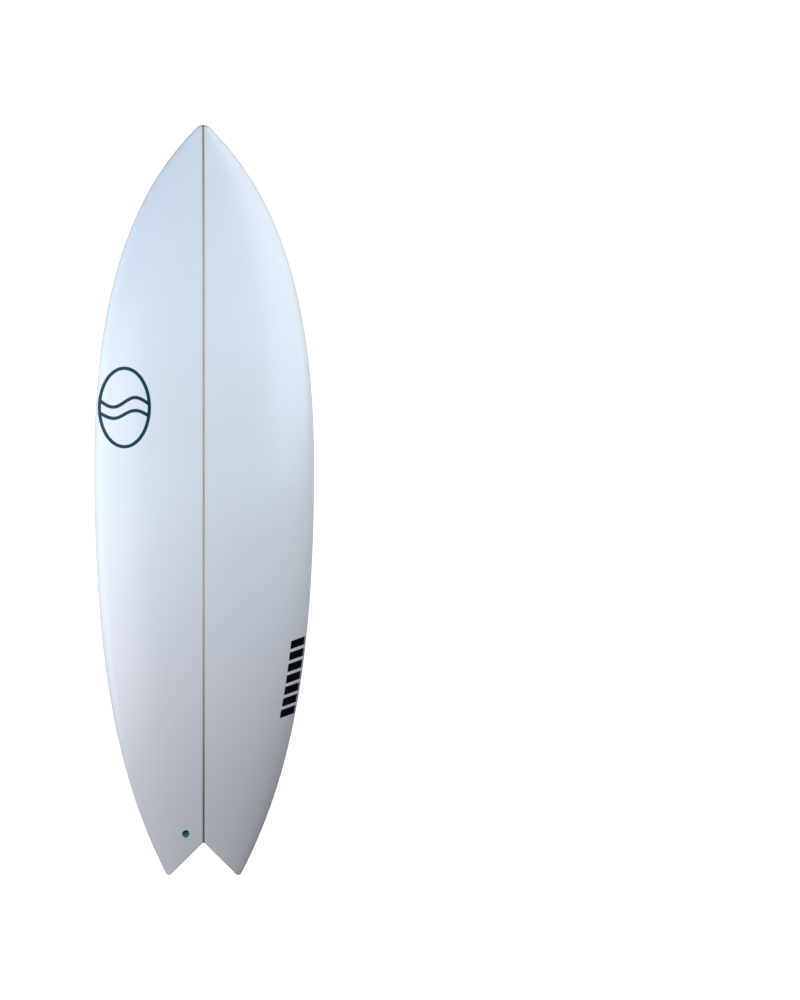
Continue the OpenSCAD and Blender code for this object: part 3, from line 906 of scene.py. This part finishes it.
class SURFBOARD_OT_skins(bpy.types.Operator):
    """Make the deck skin with its rail laps and the bottom skin, cut out round the fittings"""

    bl_idname = "surfboard.skins"
    bl_label = "Skins"

    lanes = 76
    seam = 0.6  # share of the lanes, from the stringer, that the bottom skin covers below
    turn = 0.7  # share of a quarter turn at which the notch's side meets a tail tip's arc

    def execute(self, context):
        hull, fittings, look = settings()
        material = skin_material(look)
        lane = np.sin(np.linspace(0, math.pi / 2, self.lanes + 1))
        first = int(round(self.lanes * self.seam))
        knee = float(np.sin(self.turn * math.pi / 2))
        x, d = hull.plan(lane, knee)
        z_top, z_low = hull.deck(x, d), hull.bottom(x, d)
        z_top[:, -1] = z_low[:, -1] = hull.apex(d[:, -1])
        self.round_edges(hull, x, d, z_top, z_low)
        y = hull.y(d)
        faces = {
            (top, side): np.stack([side * x, y, z_top if top else z_low], -1)
            for top in (True, False)
            for side in (-1, 1)
        }
        deck = np.concatenate([
            faces[False, -1][:, first:-1],
            faces[True, -1][:, ::-1],
            faces[True, 1],
            faces[False, 1][:, first:-1][:, ::-1],
        ], 1)
        right, left = faces[False, 1][:, :first + 1], faces[False, -1][:, :first + 1]
        bottom = np.concatenate([right[:, ::-1], left], 1)
        for tag, sheets in (("deck", (deck, self.wall(faces))), ("bottom", (bottom,))):
            name = f"{tag}_skin"
            drop_piece(name)
            parts = [(sheet, grid_faces(*sheet.shape[:2])) for sheet in sheets]
            piece = new_piece(name, parts, closed=False)
            merge(piece.data, outwards=False)
            thicken = piece.modifiers.new("wall", "SOLIDIFY")
            thicken.thickness = hull.s.skin_t
            thicken.offset = -1
            thicken.use_rim = True
            cut(piece, self.cutters(hull, fittings, tag))
            place(piece, "laminate", material, f"{tag}_laminate")
        return {"FINISHED"}

    @staticmethod
    def round_edges(hull, x, d, z_top, z_low):
        """Rounds the edges of the notch wall: near the tail edge each face bends towards the
        other, by a radius that shrinks with the wall's height."""
        gap = np.hypot(x - x[-1:], d - d[-1:]) * math.sin(hull.s.notch_angle)
        height = np.maximum(z_top[-1:] - z_low[-1:], 0)
        z_top -= rounding(gap, np.minimum(hull.s.notch_edge, height * 0.3))
        z_low += rounding(gap, np.minimum(hull.low_edge, height * 0.1))

    @staticmethod
    def wall(faces):
        """The notch's wall, from the deck's last row down to the bottom's."""
        top = np.concatenate([faces[True, -1][-1, ::-1], faces[True, 1][-1]])
        low = np.concatenate([faces[False, -1][-1, ::-1], faces[False, 1][-1]])
        t = np.linspace(0, 1, 5)[:, None, None]
        return blend_of(top[None], low[None], t)

    @staticmethod
    def cutters(hull, fittings, tag):
        """Solids that clear the fin boxes' flanges, and on the deck the leash plug's rim."""
        made = []
        half_w = fittings.flange_w / 2
        loop = rounded_loop(half_w, fittings.flange_l / 2, half_w - 1e-5, 128)
        for side in SIDES:
            origin, axes = box_frame(fittings, side)
            loops = np.stack([at_height(loop, z) for z in (-0.006, 0.003)])
            made.append(new_piece(f"cut_{tag}_{side}", tube(to_world(loops, origin, axes))))
        if tag == "deck":
            origin, axes = plug_frame(hull, fittings)
            loop = circle(fittings.rim_r, 96)
            loops = np.stack([at_height(loop, z) for z in (-0.004, 0.004)])
            made.append(new_piece("cut_plug", tube(to_world(loops, origin, axes))))
        return made


class SURFBOARD_OT_core(bpy.types.Operator):
    """Finish the foam core, the stringer and the resin beds, and add the stringer's seen edge"""

    bl_idname = "surfboard.core"
    bl_label = "Core and stringer"

    def execute(self, context):
        hull, _, look = settings()
        for material, nodes in (
            (foam_material(look), ("foam_left", "foam_right")),
            (wood_material(look, "stringer_wood"), ("stringer",)),
            (resin_material(), ("fin_box_bed_left", "fin_box_bed_right", "leash_plug_bed")),
        ):
            for node in nodes:
                slots = frame["nodes"][node].data.materials
                slots.clear()
                slots.append(material)
        drop_piece("stringer_edge")
        piece = new_piece("stringer_edge", self.band(hull))
        place(piece, "stringer_wood", wood_material(look, "stringer_under_resin"))
        return {"FINISHED"}

    @staticmethod
    def band(hull):
        """The stringer as it shows through the skins: a flat band round the board's middle
        section, along the deck, down the notch wall and back along the bottom."""
        lift, sink = 0.00007, -0.0004  # its outer and inner faces, from the hull's surface
        zero = np.array(0.0)
        notch = float(hull.tail_edge(np.array([0.0]), 0.9)[1][0])
        tail = blend_of(hull.tail_from, notch, hull.tail_rows())
        d = np.concatenate([hull.straight_rows(), tail])
        gap = (notch - d) * math.sin(hull.s.notch_angle)
        top = np.stack([hull.y(d), hull.deck(zero, d) - rounding(gap, hull.s.notch_edge)], -1)
        low = np.stack([hull.y(d), hull.bottom(zero, d) + rounding(gap, hull.low_edge)], -1)[::-1]
        wall = blend_of(top[-1], low[0], np.linspace(0, 1, 8)[1:-1, None])
        line = np.concatenate([top, wall, low[:-1]])
        ahead, behind = np.roll(line, -1, 0), np.roll(line, 1, 0)
        along = ahead - behind
        out = np.stack([along[:, 1], -along[:, 0]], -1)
        out /= np.linalg.norm(out, axis=1, keepdims=True)
        half = hull.half_s
        corners = [(-half, lift), (0, lift), (half, lift), (half, sink), (0, sink), (-half, sink)]
        edges = [
            np.concatenate([np.full((len(line), 1), x), line + out * height], 1)
            for x, height in corners
        ]
        loops = np.stack(edges, 1)
        return tube(np.concatenate([loops, loops[:1]]), end_caps=False)


class SURFBOARD_OT_fin_boxes(bpy.types.Operator):
    """Make the two fin boxes, with their flanges sanded to the bottom's curve"""

    bl_idname = "surfboard.fin_boxes"
    bl_label = "Fin boxes"

    count = 160

    def execute(self, context):
        hull, fittings, look = settings()
        material = box_material(look)
        for side in SIDES:
            name = f"fin_box_{side}_moulding"
            drop_piece(name)
            origin, axes = box_frame(fittings, side)
            piece = new_piece(name, tube(self.loops(hull, fittings, origin, axes)), sharp=30)
            cutters = []
            for end in ENDS:
                at, out = screw_joint(side, end)
                cutters.append(self.bore(fittings, at, out, f"bore_{side}_{end}"))
            cut(piece, cutters, sharp=30)
            place(piece, "box_plastic", material, f"fin_box_{side}")
        return {"FINISHED"}

    def loops(self, hull, fittings, origin, axes):
        """Loops from the slot's floor up its wall, out over the face, and down round the flange
        and the body to the underside. Over the face a loop keeps to the hull's bottom."""
        f = fittings
        sw, sl, sd = f.slot_w / 2, f.slot_l / 2, f.slot_depth
        fw, fl = f.flange_w / 2, f.flange_l / 2
        bw, bl = f.body_w / 2, f.body_l / 2
        rows = [
            # half width, half length, corner radius, depth, share of the hull's own height
            (sw * 0.3, sl * 0.9, 0.0008, sd, 0),
            (sw - 0.0006, sl - 0.0006, 0.0009, sd, 0),
            (sw, sl, 0.0014, sd - 0.0006, 0),
            (sw, sl, 0.0014, sd * 0.5, 0),
            (sw, sl, 0.0014, 0.0012, 0.3),
            (sw, sl, 0.0014, 0.00045, 1),
            (sw + 0.00015, sl + 0.00015, 0.0015, 0.00015, 1),
            (sw + 0.0005, sl + 0.0005, 0.0018, 0.0, 1),
            (sw + 0.0016, sl + 0.0024, 0.003, 0.0, 1),
            (sw + 0.0032, sl + 0.0075, 0.0055, 0.0, 1),
            (fw - 0.0040, fl - 0.0055, 0.0105, 0.0, 1),
            (fw - 0.0012, fl - 0.0012, fw - 0.0013, 0.0, 1),
            (fw - 0.00035, fl - 0.00035, fw - 0.0004, 0.00004, 1),
            (fw - 0.00006, fl - 0.00006, fw - 0.0001, 0.0003, 1),
            (fw - 0.00006, fl - 0.00006, fw - 0.0001, f.flange_t, 0),
            (bw + 0.0008, bl + 0.0008, bw, f.flange_t, 0),
            (bw, bl, bw - 0.0001, f.flange_t + 0.0008, 0),
            (bw, bl, bw - 0.0001, f.box_depth - 0.001, 0),
            (bw - 0.001, bl - 0.001, bw - 0.0011, f.box_depth, 0),
            (bw * 0.3, bl * 0.9, bw * 0.29, f.box_depth, 0),
        ]
        made = []
        for half_x, half_y, radius, depth, share in rows:
            flat = rounded_loop(half_x, half_y, radius, self.count)
            gap = self.skin_gap(hull, to_world(at_height(flat, 0.0), origin, axes))
            world = to_world(at_height(flat, depth), origin, axes)
            world[:, 2] += share * gap
            made.append(world)
        return np.stack(made)

    @staticmethod
    def skin_gap(hull, world):
        """How far the hull's bottom lies above the box's flat face at each point."""
        d = hull.s.board_l / 2 - world[:, 1]
        return hull.bottom(np.abs(world[:, 0]), d) - world[:, 2]

    @staticmethod
    def bore(fittings, at, out, name):
        """Solid of a screw's bore: a shaft with a wider mouth."""
        play, widening = 0.00005, 0.0005
        r = fittings.screw_r + play
        mouth = r + widening
        rows = [(r, -0.0078), (r, 0.0055), (mouth, 0.0062), (mouth, 0.012)]
        loops = np.stack([at_height(circle(radius, 64), z) for radius, z in rows])
        return new_piece(name, tube(to_world(loops, at, axes_about(out))))


class SURFBOARD_OT_screws(bpy.types.Operator):
    """Make the four set screws with their threads and hexagon sockets"""

    bl_idname = "surfboard.screws"
    bl_label = "Set screws"

    count = 72
    pitch = 0.0008
    thread = 0.00045  # height of the thread
    socket = 0.00125  # half the socket's width across its flats

    def execute(self, context):
        _, fittings, look = settings()
        material = steel_material("screw_steel", look.steel)
        for side in SIDES:
            for end in ENDS:
                node = f"fin_screw_{side}_{end}"
                name = f"{node}_turned"
                drop_piece(name)
                at, out = screw_joint(side, end)
                world = to_world(self.loops(fittings), at, axes_about(out))
                place(new_piece(name, tube(world), sharp=32), "stainless", material, node, body=node)
        return {"FINISHED"}

    def loops(self, fittings):
        """Loops from the socket's floor up its six walls, over the chamfered head, down the thread
        and in to the cup point. The thread's radius is a triangle wave of height along the axis
        less the turn's share of the pitch."""
        a = np.linspace(0, 2 * math.pi, self.count, endpoint=False)
        sixth = math.pi / 3
        hexagon = self.socket / np.cos((a + sixth / 2) % sixth - sixth / 2)
        r, half = fittings.screw_r, fittings.screw_l / 2
        rows = [(hexagon * 0.3, half - 0.0034), (hexagon, half - 0.0030), (hexagon, half - 0.0001)]
        rows += [(hexagon + 0.0001, half), (np.full_like(a, r - 0.0004), half)]
        for z in np.arange(half - 0.0002, -half + 0.0006, -self.pitch / 8):
            phase = (z / self.pitch - a / (2 * math.pi)) % 1.0
            tooth = np.abs(2 * phase - 1)
            room = min(1.0, (half - z) / 0.0008, (z + half) / 0.0012)
            rows.append((r - self.thread + self.thread * tooth * room, z))
        for less, z in ((0.0008, -half + 0.0002), (0.0010, -half), (0.0014, -half + 0.0005)):
            rows.append((np.full_like(a, r - less), z))
        cos, sin = np.cos(a), np.sin(a)
        return np.stack([at_height(np.stack([rad * cos, rad * sin], -1), z) for rad, z in rows])


class SURFBOARD_OT_leash_plug(bpy.types.Operator):
    """Make the leash plug's cup and the steel bar across it"""

    bl_idname = "surfboard.leash_plug"
    bl_label = "Leash plug"

    count = 96

    def execute(self, context):
        hull, f, look = settings()
        origin, axes = plug_frame(hull, f)
        profile = [
            (f.hollow_r * 0.2, -f.hollow_depth),
            (f.hollow_r - 0.0016, -f.hollow_depth),
            (f.hollow_r - 0.0005, -f.hollow_depth + 0.0005),
            (f.hollow_r, -f.hollow_depth + 0.0016),
            (f.hollow_r, -f.hollow_depth * 0.5),
            (f.hollow_r, -0.0012),
            (f.hollow_r + 0.0001, -0.0006),
            (f.hollow_r + 0.0004, -0.0002),
            (f.hollow_r + 0.0009, 0.00002),
            (f.hollow_r + 0.0016, 0.0001),
            (f.rim_r - 0.0016, 0.0001),
            (f.rim_r - 0.0006, 0.00004),
            (f.rim_r - 0.0001, -0.0001),
            (f.rim_r - 0.00003, -0.0004),
            (f.rim_r - 0.00003, -f.rim_t),
            (f.cup_r + 0.0003, -f.rim_t),
            (f.cup_r, -f.rim_t - 0.0004),
            (f.cup_r, -f.cup_depth + 0.001),
            (f.cup_r - 0.001, -f.cup_depth),
            (f.cup_r * 0.2, -f.cup_depth),
        ]
        loops = np.stack([at_height(circle(r, self.count), z) for r, z in profile])
        world = to_world(loops, origin, axes)
        drop_piece("leash_cup_moulding")
        cup = new_piece("leash_cup_moulding", tube(world), sharp=35)
        place(cup, "plug_plastic", plug_material(look, origin, axes[:, 2]), "leash_cup")
        self.bar(f, look)
        return {"FINISHED"}

    @staticmethod
    def bar(fittings, look):
        """Turned bar with a slight waist, along the leash bar's mount."""
        at, along = mount("leash_bar")
        side = unit(np.cross(along, [0.0, 0.0, 1.0]))
        axes = np.stack([side, np.cross(along, side), along], -1)
        half = fittings.hollow_r + 0.0012
        t = np.linspace(-1, 1, 33)
        radius = fittings.bar_r * (0.97 + 0.03 * t**4)
        radius[[0, -1]] -= 0.0003
        loops = np.stack([at_height(circle(r, 48), z) for r, z in zip(radius, t * half)])
        drop_piece("leash_bar_turned")
        piece = new_piece("leash_bar_turned", tube(to_world(loops, at, axes)), sharp=40)
        # the bar's darkened steel is painted shade from the hollow
        place(piece, "stainless", steel_material("bar_steel_painted_shade", look.bar_steel_painted_shade), "leash_bar")


class SURFBOARD_OT_inks(bpy.types.Operator):
    """Lay the printed emblems, stripes and disc on the skins"""

    bl_idname = "surfboard.inks"
    bl_label = "Inks"

    sink = -0.00022  # the inks' undersides, from the hull's surface
    wide, tall = 0.058, 0.0905  # half width and half length of an emblem's ring
    stroke = 0.0078  # width of an emblem's lines
    bars, bar_gap, slant = 7, 0.0075, 0.012

    def execute(self, context):
        self.hull, _, look = settings()
        self.top = look.ink_lift
        teal = ink_material(look, "teal_ink", look.teal, (0.012, 0.070, 0.105))
        black = ink_material(look, "black_ink", look.black, (0.010, 0.010, 0.012))
        deck_stripes = self.stripes(1, True, 0.002, 0.034, 1.177, 1.367)
        bottom_stripes = self.stripes(-1, False, 0.016, 0.050, 1.161, 1.370, dotted=True)
        for name, node, parts in (
            ("deck_emblem", "deck_emblem_sheet", self.emblem(-1, True, 0.1835, 0.650)),
            ("deck_stripes", "deck_bars_sheet", deck_stripes),
            ("bottom_emblem", "bottom_emblem_sheet", self.emblem(1, False, 0.178, 0.5905)),
            ("bottom_disc", "bottom_round_sheet", self.disc(1, False, 0.155, 1.226)),
            ("bottom_stripes", "bottom_bars_sheet", bottom_stripes),
        ):
            drop_piece(name)
            tint, material = ("teal", teal) if "emblem" in name else ("black", black)
            place(new_piece(name, parts, sharp=40), f"{tint}_print", material, node)
        return {"FINISHED"}

    def lay(self, side, on_top, x, d, closed=False):
        """A thin solid under a grid of distances and stations."""
        return slab(self.hull, side, x, d, on_top, self.top, self.sink, closed)

    def line(self, side, on_top, x, d, width, closed=False, across=7):
        """A stroke of the given width along a line of distances and stations."""
        if closed:
            step_x, step_d = np.roll(x, -1) - np.roll(x, 1), np.roll(d, -1) - np.roll(d, 1)
        else:
            step_x, step_d = np.gradient(x), np.gradient(d)
        size = np.hypot(step_x, step_d)
        t = np.linspace(-0.5, 0.5, across)[None, :] * width
        grid_x = x[:, None] - t * (step_d / size)[:, None]
        grid_d = d[:, None] + t * (step_x / size)[:, None]
        return self.lay(side, on_top, grid_x, grid_d, closed)

    def emblem(self, side, on_top, x0, d0):
        """An upright oval ring with two swells rolling through it."""
        t = np.linspace(0, 2 * math.pi, 200, endpoint=False)
        x, d = x0 + self.wide * np.sin(t), d0 - self.tall * np.cos(t)
        parts = self.line(side, on_top, x, d, self.stroke, True)
        u = np.linspace(-1, 1, 90)
        for drop, rise in ((-0.012, 0.011), (0.016, 0.009)):
            d = d0 + drop + rise * np.sin(u * math.pi * 1.1)
            reach = self.wide * np.sqrt(1 - ((d - d0) / self.tall) ** 2)
            parts += self.line(side, on_top, x0 + u * (reach - 0.001), d, self.stroke)
        return parts

    def stripes(self, side, on_top, near, far, start, end, dotted=False):
        """A row of slanted bars that keeps its distance from the rail, and if asked a row of
        dots on its inner side."""
        parts = []
        pitch = (end - start - self.slant + self.bar_gap) / self.bars
        across, along = np.meshgrid(np.linspace(near, far, 12), np.linspace(0, 1, 10))
        lean = self.slant * (across - near) / (far - near)
        for k in range(self.bars):
            d = start + k * pitch + along * (pitch - self.bar_gap) + lean
            parts += self.lay(side, on_top, self.hull.half_width(d) - across, d)
        if dotted:
            for d0 in np.arange(start + 0.02, end - 0.012, 0.0105):
                x0 = float(self.hull.half_width(np.array(d0))) - far - 0.012
                parts += self.dot(side, on_top, x0, d0, 0.0016, 10, 3)
        return parts

    def dot(self, side, on_top, x0, d0, radius, count=24, rings=4):
        """A small disc, as rings from its middle out over the top and back underneath."""
        a = np.linspace(0, 2 * math.pi, count, endpoint=False)[None, :]
        r = np.linspace(0, 1, rings)[1:, None] * radius
        x, d = x0 + r * np.cos(a), d0 + r * np.sin(a)
        upper = self.hull.lifted(side, x, d, on_top, self.top)
        lower = self.hull.lifted(side, x, d, on_top, self.sink)[::-1]
        return tube(np.concatenate([upper, lower]))

    def disc(self, side, on_top, x0, d0):
        """A rising sun over three swells, with an arc of dots above it and a row below."""
        sun_r = 0.034
        a, r = np.meshgrid(np.linspace(0, math.pi, 60), np.linspace(0, 1, 14) * sun_r, indexing="ij")
        parts = self.lay(side, on_top, x0 + r * np.cos(a), d0 - 0.002 - r * np.sin(a))
        u = np.linspace(-1, 1, 90)
        for drop, reach in ((0.0095, 0.041), (0.0205, 0.036), (0.0315, 0.027)):
            d = d0 + drop + 0.0026 * np.sin(u * reach / 0.041 * math.pi * 2.5)
            parts += self.line(side, on_top, x0 + u * reach, d, 0.0062)
        dot_r = 0.0036
        for t in np.radians(np.linspace(28, 152, 9)):
            x, d = x0 + 0.054 * math.cos(t), d0 - 0.006 - 0.060 * math.sin(t)
            parts += self.dot(side, on_top, x, d, dot_r)
        for t in np.linspace(-0.036, 0.036, 5):
            parts += self.dot(side, on_top, x0 + t, d0 + 0.061 - 3.0 * t * t, dot_r)
        return parts


class SURFBOARD_OT_studio(bpy.types.Operator):
    """Put the board in a pale studio: floor, soft lights and a camera above the deck"""

    bl_idname = "surfboard.studio"
    bl_label = "Studio"

    # name, place, the point it is turned to, width and height, tint, watts
    lights = (
        ("left_panel", (-1.5, 0.1, 0.6), (0.0, 0.0, 0.05), (1.8, 0.8), (0.72, 0.88, 1.0), 13.1),
        ("left_soft", (-0.9, -0.1, 0.9), (-0.1, -0.1, 0.0), (1.0, 1.0), (1.0, 0.92, 0.92), 7.0),
        ("left_nose", (-0.9, 0.6, 1.0), (0.0, 0.4, 0.0), (1.0, 1.0), (0.25, 0.60, 1.0), 3.6),
        ("right_panel", (1.3, 1.0, 0.7), (0.0, 0.5, 0.05), (1.4, 0.8), (1.0, 0.85, 0.66), 6.6),
        ("right_nose", (0.8, 0.6, 1.0), (0.0, 0.4, 0.0), (1.0, 1.0), (0.67, 0.83, 1.0), 11.1),
    )

    def execute(self, context):
        studio = context.scene.surfboard_studio
        self.floor(studio)
        self.world(context.scene, studio)
        for values in self.lights:
            self.light(*values)
        self.camera(context.scene, studio)
        context.scene.view_settings.view_transform = "Standard"
        context.scene.view_settings.look = "None"
        return {"FINISHED"}

    @staticmethod
    def floor(studio):
        """A broad floor, level with the board's lowest point, that glows a little."""
        drop_piece("studio_floor")
        r = (0.001, 1.0, 3.0, 9.0)
        points = np.stack([at_height(circle(radius, 96), cad_box[0].z) for radius in r])
        faces = grid_faces(*points.shape[:2], closed=True)
        floor = new_piece("studio_floor", [(points, faces)], closed=False)
        m = Shader("studio_floor", Roughness=0.9, Specular_IOR_Level=0.1)
        m.set(Emission_Strength=studio.floor_glow)
        clouds = m.noise(m.here(), 0.6, 2.0)
        tint = m.mix(m.fit(clouds, 0.3, 0.7), studio.floor_colour, (0.90, 0.90, 0.90))
        x, y, _ = m.xyz(m.here((1 / 0.45, 1 / 1.05, 1.0)))
        away = m.soft((x * x + y * y).power(0.5), 0.9, 2.0)
        glow = m.mix(away, (0.92, 0.922, 0.925), (1.0, 1.0, 1.0))
        m.set(Base_Color=tint, Emission_Color=glow)
        floor.data.materials.append(m.material)
        floor.visible_diffuse = floor.visible_glossy = False

    @staticmethod
    def world(scene, studio):
        """The camera sees a pale backdrop, and everything else a dim sky over a brighter ground,
        which stands for the light that a pale floor sends back up."""
        world = scene.world or bpy.data.worlds.new("studio")
        scene.world = world
        world.use_nodes = True
        tree = world.node_tree
        tree.nodes.clear()
        sky, ground, backdrop = (tree.nodes.new("ShaderNodeBackground") for _ in range(3))
        sky.inputs[0].default_value = (*studio.sky, 1.0)
        ground.inputs[0].default_value = (*studio.ground, 1.0)
        backdrop.inputs[0].default_value = (1.0, 1.0, 1.0, 1.0)
        split = tree.nodes.new("ShaderNodeSeparateXYZ")
        tree.links.new(tree.nodes.new("ShaderNodeTexCoord").outputs["Generated"], split.inputs[0])
        horizon = tree.nodes.new("ShaderNodeMapRange")
        blur = 0.12  # half the height of the soft horizon
        horizon.inputs["From Min"].default_value = -blur
        horizon.inputs["From Max"].default_value = blur
        tree.links.new(split.outputs["Z"], horizon.inputs["Value"])
        path = tree.nodes.new("ShaderNodeLightPath")
        out = tree.nodes.new("ShaderNodeOutputWorld")
        round_it, seen = (tree.nodes.new("ShaderNodeMixShader") for _ in range(2))
        for source, sink in (
            (horizon.outputs[0], round_it.inputs[0]),
            (ground.outputs[0], round_it.inputs[1]),
            (sky.outputs[0], round_it.inputs[2]),
            (path.outputs["Is Camera Ray"], seen.inputs[0]),
            (round_it.outputs[0], seen.inputs[1]),
            (backdrop.outputs[0], seen.inputs[2]),
            (seen.outputs[0], out.inputs[0]),
        ):
            tree.links.new(source, sink)

    @staticmethod
    def light(name, at, aim, size, tint, watts):
        """A rectangular soft light at a point, turned towards another."""
        drop_piece(name)
        data = bpy.data.lights.new(name, "AREA")
        data.shape = "RECTANGLE"
        data.size, data.size_y = size
        data.color = tint
        data.energy = watts
        lamp = bpy.data.objects.new(name, data)
        bpy.context.scene.collection.objects.link(lamp)
        lamp.visible_camera = False
        lamp.location = at
        lamp.rotation_euler = (Vector(aim) - Vector(at)).to_track_quat("-Z", "Y").to_euler()

    @staticmethod
    def camera(scene, studio):
        """Straight above, the nose at the top of the picture, beside the board's middle."""
        drop_piece("studio_camera")
        data = bpy.data.cameras.new("studio_camera")
        data.sensor_fit = "AUTO"
        data.sensor_width = 36.0
        data.lens = studio.lens
        data.clip_end = 200.0
        camera = bpy.data.objects.new("studio_camera", data)
        scene.collection.objects.link(camera)
        middle = (cad_box[0].y + cad_box[1].y) / 2
        height = studio.picture_h * studio.lens / data.sensor_width
        camera.location = (studio.camera_x, middle, studio.true_at + height)
        scene.camera = camera


class SURFBOARD_PT_panel(bpy.types.Panel):
    """Lists the pieces in the order they are made"""

    bl_idname = "SURFBOARD_PT_panel"
    bl_label = "Surfboard"
    bl_space_type = "VIEW_3D"
    bl_region_type = "UI"
    bl_category = "Surfboard"

    def draw(self, context):
        for operator in OPERATORS:
            self.layout.operator(operator.bl_idname)
        for group, _ in GROUPS:
            box = self.layout.box()
            values = getattr(context.scene, group)
            for key in values.__annotations__:
                box.prop(values, key)


GROUPS = (
    ("surfboard_shape", SurfboardShape),
    ("surfboard_fittings", SurfboardFittings),
    ("surfboard_finish", SurfboardFinish),
    ("surfboard_studio", SurfboardStudio),
)
OPERATORS = (
    SURFBOARD_OT_skins,
    SURFBOARD_OT_core,
    SURFBOARD_OT_fin_boxes,
    SURFBOARD_OT_screws,
    SURFBOARD_OT_leash_plug,
    SURFBOARD_OT_inks,
    SURFBOARD_OT_studio,
)


def register():
    for _, group in GROUPS:
        bpy.utils.register_class(group)
    for operator in OPERATORS:
        bpy.utils.register_class(operator)
    bpy.utils.register_class(SURFBOARD_PT_panel)
    for name, group in GROUPS:
        setattr(bpy.types.Scene, name, bpy.props.PointerProperty(type=group))


def unregister():
    for name, _ in GROUPS:
        delattr(bpy.types.Scene, name)
    bpy.utils.unregister_class(SURFBOARD_PT_panel)
    for operator in reversed(OPERATORS):
        bpy.utils.unregister_class(operator)
    for _, group in reversed(GROUPS):
        bpy.utils.unregister_class(group)


def main():
    """Makes every piece in order."""
    register()
    bpy.ops.surfboard.skins()
    bpy.ops.surfboard.core()
    bpy.ops.surfboard.fin_boxes()
    bpy.ops.surfboard.screws()
    bpy.ops.surfboard.leash_plug()
    bpy.ops.surfboard.inks()
    bpy.ops.surfboard.studio()


if __name__ == "__main__":
    main()
